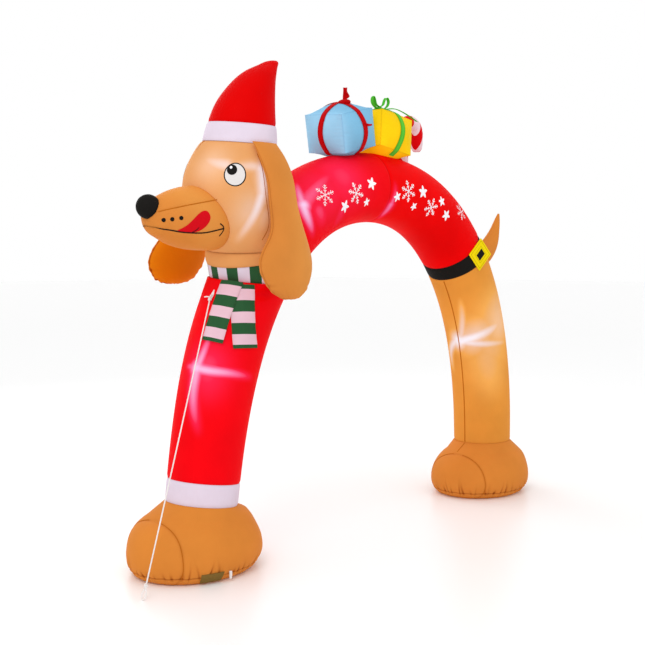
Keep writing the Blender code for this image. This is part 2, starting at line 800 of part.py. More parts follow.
def build_gifts():
    seat = as_cutter(body_piece("crown_room", CROWN_SEAM - 0.7, CROWN_SEAM + 0.6, 25, RED, SEAT_GAP))
    blue_room = as_cutter(build_box("blue_box_room", BLUE_BOX, BLUE, SEAT_GAP))
    yellow_room = as_cutter(build_box("yellow_box_room", YELLOW_BOX, YELLOW, GAP))
    boolean(build_box("blue_box", BLUE_BOX, BLUE), seat)
    yellow = build_box("yellow_box", YELLOW_BOX, YELLOW)
    boolean(yellow, seat)
    boolean(yellow, blue_room)
    look = (BLUE_SPANS, BLUE_KNOT, BLUE_TAILS, DARK_RED)
    build_ribbon("blue_box_ribbon", BLUE_BOX, *look, (seat, blue_room))
    look = (YELLOW_SPANS, YELLOW_KNOT, YELLOW_TAILS, GREEN)
    build_ribbon("yellow_box_ribbon", YELLOW_BOX, *look, (seat, blue_room, yellow_room))
    points = [(CANE_X, CANE_Y, z) for z in (CANE_FOOT, 2.02, 2.11)]
    for step in range(9):
        a = pi * step / 8
        x = CANE_X + CANE_HOOK * (1 - cos(a))
        points.append((x, CANE_Y, CANE_SHOULDER + CANE_HOOK * sin(a)))
    points.append((CANE_X + 2 * CANE_HOOK, CANE_Y, CANE_SHOULDER - CANE_END_DROP))
    cane = as_mesh(curve_tube("candy_cane", points, [CANE_RADIUS] * len(points), 16, CANE_WHITE))
    boolean(cane, seat)


def touch(piece, start, towards):
    """Where the line from start towards a point meets a piece, and the way the skin faces."""
    bpy.context.view_layer.update()
    graph = bpy.context.evaluated_depsgraph_get()
    aim = (Vector(towards) - Vector(start)).normalized()
    hit, point, facing, _ = piece.evaluated_get(graph).ray_cast(Vector(start), aim)
    if not hit:
        raise ValueError(f"no skin of {piece.name} there")
    return point, facing


def laid_on(piece, along, round_deg, lift):
    """A point the given height above the skin of a piece of the body."""
    start = Vector(on_body(along, round_deg, 0.12))
    point, _ = touch(piece, start, on_body(along, round_deg))
    return point + (start - point).normalized() * lift


def tail_strip(name, table, lift, body):
    """A scarf end on the chest, between the table's angles round the tube."""
    rows = []
    for along, middle, half, skew in smooth_through(table, 10, 1):
        shares = np.linspace(-1, 1, 6)
        row = [laid_on(body, along + skew * u, middle + half * u, lift) for u in shares]
        rows.append(row)
    return sheet(name, rows, CLOTH, STRIPED)


def coil(start, ahead, turns):
    """Points of a rope wound round a line."""
    side = ahead.orthogonal().normalized()
    other = ahead.cross(side)
    points = []
    for step in range(int(turns * 8) + 1):
        a = 2 * pi * step / 8
        out = side * cos(a) + other * sin(a)
        points.append(start + out * KNOT_RADIUS + ahead * (ROPE_DIAMETER * 1.06 * step / 8))
    return points


def rope(name, points, sides=8):
    return curve_tube(name, points, [ROPE_DIAMETER / 2] * len(points), sides, WEBBING)


def build_rope(body):
    """The tab, the rope and the knots at its two ends."""
    foot, facing = touch(body, on_body(TAB_AT, TAB_ROUND_DEG, 0.12), on_body(TAB_AT, TAB_ROUND_DEG))
    higher = laid_on(body, TAB_AT + 0.03, TAB_ROUND_DEG, 0.0)
    up = (higher - foot).normalized()
    out = (facing - facing.dot(up) * up).normalized()
    seat = Matrix.Translation(foot + out * 0.0006)
    seat = seat @ Matrix((up, out.cross(up), out)).transposed().to_4x4()
    outline = [(a, -w) for a, w in TAB_OUTLINE] + [(a, w) for a, w in TAB_OUTLINE[::-1]]
    tab = slab("rope_tab", outline, 0.002, WEBBING, seat)
    hole = slab("eyelet", round_outline(0.0036), 0.02, WEBBING, seat @ Matrix.Translation((0, 0, -0.01)))
    boolean(tab, as_cutter(hole))

    start = foot + out * 0.0125 - up * 0.014 - out.cross(up) * 0.004
    ground = Vector(ROPE_GROUND)
    ahead = (ground - start).normalized()
    wound = coil(start, ahead, KNOT_TURNS)
    free_end = [start + Vector(step) for step in ((-0.014, 0.026, 0.001), (-0.010, 0.013, 0.003))]
    strand = [foot + out * 0.0022, foot + out * 0.0065 - up * 0.0003, foot + out * 0.0098 - up * 0.0022]
    strand += [foot + out * 0.0118 - up * 0.0056, start - ahead * 0.003, wound[3]]
    knot = as_mesh(rope("rope_knot", free_end + wound))
    boolean(knot, as_cutter(as_mesh(rope("knot_strand", strand))), "UNION")

    end = ground - ahead * GROUND_LOOP_LENGTH
    across = (Vector((0, 1, 0)) - ahead * ahead.y).normalized()
    loop = [end + across * a + ahead * b for a, b in GROUND_LOOP]
    low = as_mesh(rope("ground_loop", smooth_through(loop, 23, 3)))
    wrapped = coil(end - ahead * 0.016, ahead, KNOT_TURNS)
    boolean(low, as_cutter(as_mesh(rope("loop_coil", wrapped))), "UNION")

    first = start + ahead * 0.0062
    last = end - ahead * 0.0092
    share = np.linspace(0, 1, ROPE_POINTS)
    line = [first.lerp(last, t) - Vector((0, 0, ROPE_SAG * 4 * t * (1 - t))) for t in share]
    rope("guy_rope", line)


def round_outline(radius, sides=12):
    turn = np.arange(sides) * 2 * pi / sides
    return [(radius * cos(a), radius * sin(a)) for a in turn]


def foot_skin(foot, angle, height, lift):
    """A point off the skin of the front foot, straight out from its middle."""
    a = radians(angle)
    centre = Vector((-FOOT_X, 0.0, height))
    start = centre + Vector((0.6 * cos(a), 0.6 * sin(a), 0.0))
    point, _ = touch(foot, start, centre)
    return point + (start - point).normalized() * lift


def build_foot_fittings(foot):
    """The blower's mesh inlet, and the webbing loop for a stake."""
    rows = []
    for height in np.linspace(*INLET_HEIGHTS, 4):
        angles = np.linspace(*INLET_ANGLES, 8)
        rows.append([foot_skin(foot, angle, height, 0.0042) for angle in angles])
    sheet("blower_inlet", rows, CLOTH, MESH)
    angle, height = STAKE_LOOP_AT
    anchor = foot_skin(foot, angle, height, 0.0)
    out = Vector((cos(radians(angle)), sin(radians(angle)), 0.0))
    rows = []
    for away, drop in ((0.0018, 0.0), (0.0028, 0.028), (0.0046, 0.035), (0.0068, 0.028), (0.0074, 0.0)):
        rows.append((*(anchor + out * away - Vector((0, 0, drop))), 0.0075))
    band("stake_loop", rows, (-out.y, out.x, 0.0), 0.0012, WEBBING)


def centre_on_ground(loose):
    """Moves the stand so that the box of all but the loose pieces is centred over the origin."""
    bpy.context.view_layer.update()
    graph = bpy.context.evaluated_depsgraph_get()
    low = np.full(3, np.inf)
    high = -low
    for piece in PARTS.objects:
        if piece.name in loose:
            continue
        solid = piece.evaluated_get(graph)
        points = np.array([solid.matrix_world @ vertex.co for vertex in solid.to_mesh().vertices])
        solid.to_mesh_clear()
        low = np.minimum(low, points.min(axis=0))
        high = np.maximum(high, points.max(axis=0))
    STAND.location = (-(low[0] + high[0]) / 2, -(low[1] + high[1]) / 2, 0.0)


for old in list(bpy.data.objects):
    bpy.data.objects.remove(old)
PARTS = collection("inflatable arch")
HELPERS = collection("cutters", hidden=True)
STAND = bpy.data.objects.new("stand", None)
LEAN = bpy.data.objects.new("lean", None)
bpy.context.scene.collection.objects.link(STAND)
bpy.context.scene.collection.objects.link(LEAN)
LEAN.parent = STAND
LEAN.location.z = LEAN_HEIGHT
LEAN.rotation_euler.x = radians(LEAN_DEG)

ROOM = head_room()
BODY_FRONT = build_body(ROOM)
build_head(ROOM)
FRONT_FOOT, _ = build_foot("front_foot", -FOOT_X, 2, CUFF_BOTTOM)
build_foot("rear_foot", FOOT_X, 3, LEG_BOTTOM)
build_foot_fittings(FRONT_FOOT)
build_tail()
build_buckle()
build_gifts()
tail_strip("scarf_tail_right", RIGHT_TAIL_ROWS, SCARF_TAIL_LIFT, BODY_FRONT)
tail_strip("scarf_tail_left", LEFT_TAIL_ROWS, SCARF_TAIL_LIFT + 0.003, BODY_FRONT)
build_rope(BODY_FRONT)
centre_on_ground(("guy_rope", "rope_knot", "ground_loop"))
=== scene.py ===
# %% [markdown]
# # A blown-up cloth arch in the form of a long dog
#
# The real object is one thin polyester skin, sewn from coloured panels and kept full of air by a
# blower. Lamps inside shine through the cloth. This lesson dresses the plain model of that arch:
# every panel becomes a fine surface worked out with numpy, and every cloth gets its own finish.
# Lengths are in metres, turns in degrees, and +Z is up.

from math import cos, pi, radians, sin

import bmesh
import bpy
import numpy as np
from mathutils import Matrix, Vector


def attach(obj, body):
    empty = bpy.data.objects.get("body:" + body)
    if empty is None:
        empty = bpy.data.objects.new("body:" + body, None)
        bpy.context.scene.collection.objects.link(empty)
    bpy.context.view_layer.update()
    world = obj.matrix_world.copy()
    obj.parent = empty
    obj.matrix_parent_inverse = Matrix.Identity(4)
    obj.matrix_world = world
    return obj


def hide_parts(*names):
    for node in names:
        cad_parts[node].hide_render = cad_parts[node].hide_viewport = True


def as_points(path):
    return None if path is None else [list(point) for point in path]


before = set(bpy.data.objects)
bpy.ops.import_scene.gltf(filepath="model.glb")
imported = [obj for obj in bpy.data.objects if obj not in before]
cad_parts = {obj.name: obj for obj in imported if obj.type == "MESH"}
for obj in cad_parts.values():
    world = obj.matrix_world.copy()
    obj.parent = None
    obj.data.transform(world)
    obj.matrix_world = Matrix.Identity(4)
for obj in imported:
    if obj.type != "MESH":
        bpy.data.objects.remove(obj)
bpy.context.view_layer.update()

# %% [markdown]
# ## The camera
#
# The arch was measured from one photograph, so the camera stands where that photographer stood:
# off the dog's right shoulder, at chest height, tipped down a little. The lens is worked out from
# the focal length in pixels, because a lens in millimetres means nothing without its picture.

# %% Camera
SHIFT = np.array([-0.0002, -0.0232, 0.0])  # from the middle of the tube to the middle of the box
PICTURE_WIDE = 645  # pixels
FOCAL_PIXELS = 997.0
SENSOR_WIDE = 36.0  # millimetres
CAMERA_PLACE = (-4.031, -3.681, 1.448)
HEADING_DEG = 45.502
DOWN_DEG = 3.53

lens = bpy.data.cameras.new("photo_view")
lens.sensor_width = SENSOR_WIDE
lens.lens = FOCAL_PIXELS / PICTURE_WIDE * SENSOR_WIDE
lens.clip_end = 500.0


def added(name, data):
    """A new object in the scene."""
    made = bpy.data.objects.new(name, data)
    bpy.context.scene.collection.objects.link(made)
    return made


camera = added("photo_view", lens)
camera.location = Vector(CAMERA_PLACE) + Vector(SHIFT)
camera.rotation_euler = (radians(90.0 - DOWN_DEG), 0.0, radians(-HEADING_DEG))
bpy.context.scene.camera = camera
print("lens", round(lens.lens, 2), "mm")

# %% [markdown]
# ## Curves from numbers
#
# A few measured sections give the shape, as they do in a maker's pattern, and a smooth curve
# fills in between them. A spline is used, and not Blender's own curves, because every place on
# it can be worked out for a whole array at once.

# %% A smooth curve through a table's rows
def gone_along(points, axis=0):
    """How far each point of a line or a grid is from its line's start, along that line."""
    steps = np.linalg.norm(np.diff(points, axis=axis), axis=-1)
    return np.insert(np.cumsum(steps, axis=axis), 0, 0.0, axis=axis)


def through(rows, share, lengths=2, steps=None):
    """Natural cubic spline through the rows, read at shares from 0 to 1 of its length.

    The step between two rows is given, or it is the straight distance between them in the first
    columns, which are lengths.
    """
    knots = np.array(rows, float)
    if steps is None:
        steps = np.linalg.norm(np.diff(knots[:, :lengths], axis=0), axis=1)
    at = np.concatenate([[0.0], np.cumsum(steps)])
    size = len(knots)
    slope = np.diff(knots, axis=0) / steps[:, None]
    inner = np.arange(1, size - 1)
    system = np.eye(size)
    system[inner, inner - 1] = steps[:-1]
    system[inner, inner] = 2 * (steps[:-1] + steps[1:])
    system[inner, inner + 1] = steps[1:]
    right = np.zeros_like(knots)
    right[1:-1] = 6 * np.diff(slope, axis=0)
    bend = np.linalg.solve(system, right)
    t = np.asarray(share, float) * at[-1]
    i = np.clip(np.searchsorted(at, t) - 1, 0, size - 2)
    step = steps[i][:, None]
    before = (t - at[i])[:, None]
    after = step - before
    curved = (bend[i] * after**3 + bend[i + 1] * before**3) / (6 * step)
    start = (knots[i] / step - bend[i] * step / 6) * after
    return curved + start + (knots[i + 1] / step - bend[i + 1] * step / 6) * before


def closed_through(rows, count):
    """A smooth closed curve: the spline through three rounds of the rows, middle round kept."""
    wound = np.array(list(rows) * 3 + [rows[0]], float)
    at = gone_along(wound) / gone_along(wound)[-1]
    n = len(rows)
    return through(wound, np.linspace(at[n], at[2 * n], count, endpoint=False), wound.shape[1])


print("half way between two rows:", through([(0.0, 0.0), (1.0, 2.0)], [0.5])[0])

# %% [markdown]
# ## Surfaces from grids
#
# Each piece is a grid of points: rows along the piece, columns round it, and the last column
# joins the first. Its UV map is in metres, so a weave or a stripe has its real size anywhere.
# Ripples and seams move the grid along its normals, which come from the grid's own directions.

# %% Turns, UVs and ways out of a grid
def turns(sides):
    """Equal turns round a piece, in degrees."""
    return np.arange(sides) * 360.0 / sides


def spread(*parts):
    """Points or UVs from their parts, each of which is one number, a row, a column or a grid."""
    return np.stack(np.broadcast_arrays(*parts), -1)


def ring_uv(sides, length_round, along, twist=0.0):
    """UVs of a closed grid in metres: the way round it and the way along it.

    The closing column repeats the first. The way along grows by the twist in one round.
    """
    share = np.arange(sides + 1) / sides
    along = np.broadcast_to(along, (len(along), sides))
    along = np.concatenate([along, along[:, :1]], axis=1) + share * twist
    return spread(share * length_round, along)


def outwards(grid, closed=True):
    """Unit normals of a grid: the cross product of its two directions, turned away from its middle."""
    along = np.gradient(grid, axis=0)
    if closed:
        around = np.roll(grid, -1, 1) - np.roll(grid, 1, 1)
    else:
        around = np.gradient(grid, axis=1)
    normal = np.cross(around, along)
    normal /= np.linalg.norm(normal, axis=-1, keepdims=True) + 1e-12
    if closed:
        middle = grid.mean(axis=1, keepdims=True)
        normal *= np.sign((normal * (grid - middle)).sum())
    return normal


def raised(grid, height):
    """A closed grid moved along its normals by a height."""
    return grid + outwards(grid) * height[..., None]


print("four equal turns:", turns(4))

# %% [markdown]
# ## From a grid to a mesh object
#
# Blender can take a mesh as Python lists, but that is slow for so many faces, so whole arrays
# are handed over with foreach_set. A closed mesh has to face outwards: the volume inside it
# comes out below zero when its faces look in, and then they are turned.

# %% Faces of a grid and a mesh object
def cells_of(rows, sides, closed=True):
    """The four corners of each cell of a grid whose points are numbered row by row."""
    i, j = np.meshgrid(np.arange(rows - 1), np.arange(sides if closed else sides - 1), indexing="ij")
    k = (j + 1) % sides
    corners = [i * sides + j, i * sides + k, (i + 1) * sides + k, (i + 1) * sides + j]
    return np.stack(corners, -1).reshape(-1, 4)


def fan_of(row, sides, middle):
    """The triangles between a row that closes and the point in its middle."""
    a = row * sides + np.arange(sides)
    return np.stack([a, np.roll(a, -1), np.full(sides, middle)], -1)


def new_piece(name, points, faces, uvs=None, painted=None, sharp_deg=None):
    """A smooth mesh object from lists of points, of faces' corners and of the corners' UVs.

    Without UVs, each corner takes its x and z. Painted values are lists too, one value a point.
    """
    points = np.concatenate(points)
    corners = np.concatenate([part.reshape(-1) for part in faces])
    sizes = np.concatenate([np.full(len(part), part.shape[1]) for part in faces])
    uv = np.concatenate([part.reshape(-1, 2) for part in uvs]) if uvs else points[corners][:, [0, 2]]
    mesh = bpy.data.meshes.new(name)
    mesh.vertices.add(len(points))
    mesh.vertices.foreach_set("co", points.astype(np.float32).reshape(-1))
    mesh.loops.add(len(corners))
    mesh.loops.foreach_set("vertex_index", corners.astype(np.int32))
    mesh.polygons.add(len(sizes))
    mesh.polygons.foreach_set("loop_start", (np.cumsum(sizes) - sizes).astype(np.int32))
    mesh.uv_layers.new(name="cloth").uv.foreach_set("vector", uv.astype(np.float32).reshape(-1))
    for key, value in (painted or {}).items():
        layer = mesh.attributes.new(key, "FLOAT", "POINT")
        layer.data.foreach_set("value", np.concatenate(value).astype(np.float32))
    mesh.update(calc_edges=True)
    mesh.shade_smooth()
    if sharp_deg:
        mesh.set_sharp_from_angle(angle=radians(sharp_deg))
    return added(name, mesh)


def faced_out(made):
    """Turns a closed mesh's faces outwards, by the sign of the volume inside."""
    mesh = made.data
    mesh.calc_loop_triangles()
    co = np.empty(len(mesh.vertices) * 3)
    mesh.vertices.foreach_get("co", co)
    tri = np.empty(len(mesh.loop_triangles) * 3, np.int32)
    mesh.loop_triangles.foreach_get("vertices", tri)
    a, b, c = np.moveaxis(co.reshape(-1, 3)[tri.reshape(-1, 3)], 1, 0)
    if (a * np.cross(b, c)).sum() < 0:
        mesh.flip_normals()
    return made


print(len(cells_of(3, 4)), "cells in a closed grid of 3 rows and 4 columns")

# %% [markdown]
# ## Skins and sheets
#
# A skin is a closed grid with two painted values for its finish: glow for painted lamp light, and shade,
# which darkens. Shade is painted shade in seams, folds, gathers and where no lamp reaches, and it also draws
# a few printed lines. A sheet is such a skin too, pressed flat: its two faces lie a thickness apart and join
# at the rims, so a cloth edge looks like cloth and not like paper.

# %% Skins and sheets
SKIN_SHARP_DEG = 48.0  # an edge that turns more than this stays sharp


def skin(name, grid, uv, glow=0.0, shade=0.0, caps="fan"):
    """A closed piece over a grid, with UVs in metres and its two painted values.

    Each end gets a fan of triangles round the middle of its rim, or a strip that joins the two
    faces of a sheet, or nothing. uv has one column more than the grid.
    """
    rows, sides = grid.shape[:2]
    points = [grid.reshape(-1, 3)]
    faces = [cells_of(rows, sides)]
    uvs = [uv.reshape(-1, 2)[cells_of(rows, sides + 1, closed=False)]]
    values = {"glow": np.broadcast_to(glow, (rows, sides)), "shade": np.broadcast_to(shade, (rows, sides))}
    painted = {key: [value.reshape(-1)] for key, value in values.items()}
    middle = rows * sides
    ends = ((0, 0), (1, rows - 1)) if caps else ()
    for end, row in ends:
        if caps == "strip":
            a = np.arange(sides // 2 - 1)
            four = np.stack([a, a + 1, sides - 2 - a, sides - 1 - a], -1)
            four = four if end else four[:, ::-1]
            faces.append(row * sides + four)
            uvs.append(uv[row][four])
            continue
        fan = fan_of(row, sides, middle)
        fan = fan if end else fan[:, [1, 0, 2]]
        points.append(grid[row].mean(axis=0)[None])
        faces.append(fan)
        rim = uv[row][fan[:, :2] - row * sides]
        uvs.append(np.concatenate([rim, np.tile(uv[row].mean(0), (sides, 1, 1))], axis=1))
        for key, value in values.items():
            painted[key].append(value[row].mean()[None])
        middle += 1
    return faced_out(new_piece(name, points, faces, uvs, painted, SKIN_SHARP_DEG))


def thick_sheet(name, grid, thick, glow=0.0, shade=0.0, uv=None):
    """A sheet of cloth: the grid moved half its thickness each way and joined at the rims."""
    half = outwards(grid, closed=False) * thick / 2
    ring = np.concatenate([grid + half, (grid - half)[:, ::-1]], axis=1)
    if uv is None:
        uv = np.stack([gone_along(grid, 1), gone_along(grid, 0)], -1)
    both = np.concatenate([uv, uv[:, ::-1], uv[:, :1]], axis=1)
    faces = [np.broadcast_to(value, grid.shape[:2]) for value in (glow, shade)]
    glow, shade = (np.concatenate([value, value[:, ::-1]], axis=1) for value in faces)
    return skin(name, ring, both, glow, shade, caps="strip")


print("edges sharper than", SKIN_SHARP_DEG, "degrees stay sharp")

# %% [markdown]
# ## Handing a piece over
#
# Every piece is painted, rides on the model's one body and stands for a part of the plain model.


def finish_piece(made, material, node):
    """Paints a piece and hands it to the model's one body."""
    made.data.materials.clear()
    made.data.materials.append(material)
    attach(made, "root")
    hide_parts(node)
    print(made.name, len(made.data.polygons), "faces")
    return made


# %% [markdown]
# ## Printed marks
#
# Prints and sewn lines lie on the cloth, so each is a thin shape no more than two millimetres
# above it. A surface is a function of two numbers and a lift, which makes an outline or a route
# in those numbers into points. An image would be easier, but a shape stays crisp at any size.

# %% Printed marks
def print_shape(place, edge, lift, rings=7):
    """A printed shape on a surface: its outline drawn in ring by ring to its middle."""
    edge = np.array(edge, float)
    middle = edge.mean(axis=0)
    spots = middle + (edge[None] - middle) * np.linspace(1.0, 0.03, rings)[:, None, None]
    u, v = spots[..., 0], spots[..., 1]
    return place(u, v, lift), place(u, v, 0.01) - place(u, v, 0.0), True


def spot(place, u, v, radius, count=28):
    """A round spot on a surface: a circle in metres, turned into the surface's own numbers."""
    here, step_u, step_v = place(u, v, 0.0), 0.001, 0.1
    per_u = np.linalg.norm(place(u + step_u, v, 0.0) - here) / step_u
    per_v = np.linalg.norm(place(u, v + step_v, 0.0) - here) / step_v
    a = np.radians(turns(count))
    return np.stack([u + radius * np.cos(a) / per_u, v + radius * np.sin(a) / per_v], -1)


def print_line(place, route, wide, lift, count=60, taper=0.0):
    """A printed or sewn line: a narrow strip either side of a route on a surface."""
    knots = place(*np.array(route, float).T, 0.0)
    steps = np.linalg.norm(np.diff(knots, axis=0), axis=1)
    u, v = through(route, np.linspace(0, 1, count), steps=steps).T
    path = place(u, v, lift)
    out = place(u, v, 0.01) - place(u, v, 0.0)
    side = np.cross(np.gradient(path, axis=0), out)
    side /= np.linalg.norm(side, axis=1, keepdims=True)
    share = np.linspace(0, 1, count)[:, None]
    half = wide / 2 * (1 - taper * (2 * np.abs(share - 0.5)) ** 3)
    grid = np.stack([path - side * half, path, path + side * half], axis=1)
    return grid, np.repeat(out[:, None], 3, axis=1), False


def printed(name, parts, material, node):
    """Printed marks as one thin piece; each part is a grid, its way out, and if it closes."""
    points, faces, base = [], [], 0
    for grid, out, closed in parts:
        rows, sides = grid.shape[:2]
        flat, away = grid.reshape(-1, 3), out.reshape(-1, 3)
        quads, fan = cells_of(rows, sides, closed), fan_of(rows - 1, sides, rows * sides)
        first, second, _, last = flat[quads].transpose(1, 0, 2)
        facing = np.cross(second - first, last - first)
        if (facing * away[quads[:, 0]]).sum() < 0:
            quads, fan = quads[:, ::-1], fan[:, ::-1]
        points.append(flat)
        faces.append(base + quads)
        if closed:
            points.append(grid[-1].mean(axis=0)[None])
            faces.append(base + fan)
        base += len(flat) + int(closed)
    return finish_piece(new_piece(name, points, faces), material, node)


print(len(fan_of(0, 8, 8)), "triangles close a mark of 8 points")

# %% [markdown]
# ## Cloth finishes
#
# The skin is thin taffeta: a plain weave with a soft sheen, lit from behind by a few lamps. Where
# a lamp is near, the colour washes out towards white, so the painted value glow picks the colour
# and adds a little light. The painted value shade darkens seams and gathers. The weave and the
# soft wrinkles come from bump, and need no extra points.

# %% Node helpers
def wire(tree, kind, inputs=None, **settings):
    """Adds a shader node, sets it, and links or sets its inputs."""
    node = tree.nodes.new("ShaderNode" + kind)
    for key, value in settings.items():
        setattr(node, key, value)
    for key, value in (inputs or {}).items():
        if isinstance(value, bpy.types.NodeSocket):
            tree.links.new(value, node.inputs[key])
        else:
            node.inputs[key].default_value = value
    return node


def ramp(tree, factor, stops, interpolation="LINEAR"):
    """A colour ramp: rows of place, then red, green and blue."""
    node = wire(tree, "ValToRGB", {"Fac": factor})
    node.color_ramp.interpolation = interpolation
    while len(node.color_ramp.elements) < len(stops):
        node.color_ramp.elements.new(0.5)
    for element, (place, *colour) in zip(node.color_ramp.elements, stops):
        element.position = place
        element.color = (*colour, 1.0)
    return node.outputs["Color"]


print("helpers for nodes and colour ramps are ready")

# %% [markdown]
# ## One finish for all the cloth
#
# The real skin is one kind of cloth in many colours, so one function makes them all. The weave
# is two sets of waves across each other at thread size, and a slow noise gives the soft folds
# and the small differences in colour that dyed cloth has.

# %% The taffeta finish
def cloth(name, stops, sheen=0.15, light=0.55, weave=0.05, stripes=None, deep=(0.60, 0.80, 0.93)):
    """A taffeta finish. stops colour the glow from none to full, over any stripes.

    light is how much a full glow shines, and deep how much red, green and blue a fully shaded
    seam takes away.
    """
    made = bpy.data.materials.new(name)
    made.use_nodes = True
    tree = made.node_tree
    shader = tree.nodes["Principled BSDF"]
    shader.inputs["Roughness"].default_value = 0.55
    shader.inputs["Sheen Weight"].default_value = sheen
    shader.inputs["Sheen Roughness"].default_value = 0.4
    shader.inputs["Sheen Tint"].default_value = (*stops[0][1:], 1.0)
    shader.inputs["Specular IOR Level"].default_value = 0.025
    places = wire(tree, "TexCoord").outputs
    glow = wire(tree, "Attribute", attribute_name="glow").outputs["Fac"]
    shade = wire(tree, "Attribute", attribute_name="shade").outputs["Fac"]
    colour = ramp(tree, glow, stops)
    if stripes:
        layers = {"Factor": glow, 6: stripes(tree, places["UV"]), 7: colour}
        colour = wire(tree, "Mix", layers, data_type="RGBA").outputs[2]
    cloudy = wire(tree, "TexNoise", {"Vector": places["Object"], "Scale": 5.0, "Detail": 3.0})
    reach = {"From Min": 0.3, "From Max": 0.7, "To Min": 0.93, "To Max": 1.04}
    dim = wire(tree, "MapRange", {"Value": cloudy.outputs["Fac"], **reach})
    # Painted shade: the shade value takes deep away from the colour.
    taken = {0: shade, 1: tuple(-part for part in deep), 2: (1.0, 1.0, 1.0)}
    dark = wire(tree, "VectorMath", taken, operation="MULTIPLY_ADD")
    painted_shading = wire(tree, "VectorMath", {0: colour, 1: dark.outputs[0]}, operation="MULTIPLY")
    scaled = {0: painted_shading.outputs[0], "Scale": dim.outputs[0]}
    toned = wire(tree, "VectorMath", scaled, operation="SCALE")
    tree.links.new(toned.outputs[0], shader.inputs["Base Color"])
    # Painted light: every cloth shines a little in its own colour, and more where glow is painted.
    tree.links.new(toned.outputs[0], shader.inputs["Emission Color"])
    lit = wire(tree, "Math", {0: glow, 1: light, 2: 0.12}, operation="MULTIPLY_ADD")
    tree.links.new(lit.outputs[0], shader.inputs["Emission Strength"])
    threads = {"Vector": places["UV"], "Scale": 160.0}
    warp = wire(tree, "TexWave", threads, bands_direction="X").outputs["Fac"]
    weft = wire(tree, "TexWave", threads, bands_direction="Y").outputs["Fac"]
    woven = wire(tree, "Math", {0: warp, 1: weft}, operation="ADD")
    relief = {"Strength": weave, "Distance": 0.0006, "Height": woven.outputs[0]}
    fine = wire(tree, "Bump", relief)
    folds = wire(tree, "TexNoise", {"Vector": places["Object"], "Scale": 9.0, "Detail": 4.0})
    relief = {"Strength": 0.25, "Distance": 0.012, "Height": folds.outputs["Fac"]}
    soft = wire(tree, "Bump", {**relief, "Normal": fine.outputs[0]})
    tree.links.new(soft.outputs[0], shader.inputs["Normal"])
    return made


print("a finish is a weave, a sheen, glow, shade and soft folds")

# %% [markdown]
# Stripes are woven or printed in step with the cloth, so they follow the UV map: one of its two
# lengths, divided by the stripes' period, and the part after the whole number picks a colour.

# %% Stripes
def bands(colours, period, along, start=0.0):
    """Stripes across the cloth: steps of the colours along one UV, repeated every period."""

    def paint(tree, uv):
        moved = wire(tree, "Mapping", {"Vector": uv, "Location": (start, start, 0.0)})
        axis = wire(tree, "SeparateXYZ", {"Vector": moved.outputs[0]}).outputs[along]
        laps = wire(tree, "Math", {0: axis, 1: period}, operation="DIVIDE")
        share = wire(tree, "Math", {0: laps.outputs[0]}, operation="FRACT")
        return ramp(tree, share.outputs[0], colours, "CONSTANT")

    return paint


print("stripes repeat every period, in metres")

# %% [markdown]
# ## The arch's cloths
#
# Dyed cloth isn't one colour: the lamps wash red out to pink and tan out to cream, so the large panels have
# several stops between no glow and full glow. Each colour was judged under this scene's light.

# %% The arch's cloths
GREEN_TONE = (0.022, 0.085, 0.032)
PINK_TONE = (0.68, 0.45, 0.53)
BOX_DEEP = (0.90, 0.94, 0.90)
red_cloth = cloth(
    "red taffeta",
    [
        (0.0, 0.77, 0.0003, 0.0008),
        (0.25, 0.73, 0.012, 0.050),
        (0.5, 0.67, 0.105, 0.235),
        (1.0, 0.57, 0.42, 0.60),
    ],
)
hat_cloth = cloth("hat taffeta", [(0.0, 0.60, 0.0002, 0.0003), (1.0, 0.8, 0.1, 0.1)])
tan_cloth = cloth(
    "tan taffeta",
    [
        (0.0, 0.58, 0.200, 0.036),
        (0.2, 0.60, 0.240, 0.050),
        (0.45, 0.60, 0.325, 0.170),
        (0.75, 0.60, 0.435, 0.375),
        (1.0, 0.60, 0.560, 0.600),
    ],
    light=0.45,
)
leg_cloth = cloth(
    "rear leg taffeta",
    [
        (0.0, 0.60, 0.205, 0.022),
        (0.2, 0.630, 0.243, 0.036),
        (0.34, 0.680, 0.315, 0.070),
        (0.5, 0.640, 0.370, 0.190),
        (0.75, 0.610, 0.470, 0.420),
        (1.0, 0.610, 0.600, 0.650),
    ],
    light=0.45,
)
foot_cloth = cloth("foot taffeta", [(0.0, 0.59, 0.200, 0.032), (1.0, 0.8, 0.4, 0.15)])
# Painted shade: the far ear takes its own darker, more orange copy of the tan cloth, without sheen.
far_ear_shaded_stops = [(0.0, 0.65, 0.160, 0.001), (1.0, 0.75, 0.32, 0.03)]
far_ear_shaded_cloth = cloth("far ear taffeta in painted shade", far_ear_shaded_stops, sheen=0.0)
white_stops = [(0.0, 0.64, 0.555, 0.65), (1.0, 0.8, 0.78, 0.85)]
white_cloth = cloth("white taffeta", white_stops, deep=(0.45, 0.50, 0.45))
black_stops = [(0.0, 0.010, 0.009, 0.008), (1.0, 0.1, 0.1, 0.1)]
black_cloth = cloth("black taffeta", black_stops, light=0.0)
yellow_stops = [(0.0, 0.80, 0.54, 0.005), (1.0, 0.88, 0.40, 0.004)]
yellow_cloth = cloth("yellow taffeta", yellow_stops, deep=BOX_DEEP)
blue_stops = [(0.0, 0.188, 0.43, 0.625), (1.0, 0.42, 0.66, 0.84)]
blue_cloth = cloth("light blue taffeta", blue_stops, deep=(0.85, 0.70, 0.50))
buckle_stops = [(0.0, 0.78, 0.60, 0.002), (1.0, 0.9, 0.8, 0.2)]
buckle_yellow = cloth("buckle taffeta", buckle_stops, deep=BOX_DEEP)
ribbon_stops = [(0.0, 0.40, 0.001, 0.002), (1.0, 0.55, 0.004, 0.006)]
maroon_ribbon = cloth("dark red ribbon", ribbon_stops)
green_ribbon = cloth("green ribbon", [(0.0, 0.07, 0.42, 0.03), (1.0, 0.16, 0.58, 0.05)])
webbing = cloth("white webbing", [(0.0, 0.74, 0.70, 0.68), (1.0, 1.0, 1.0, 1.0)], weave=0.3)
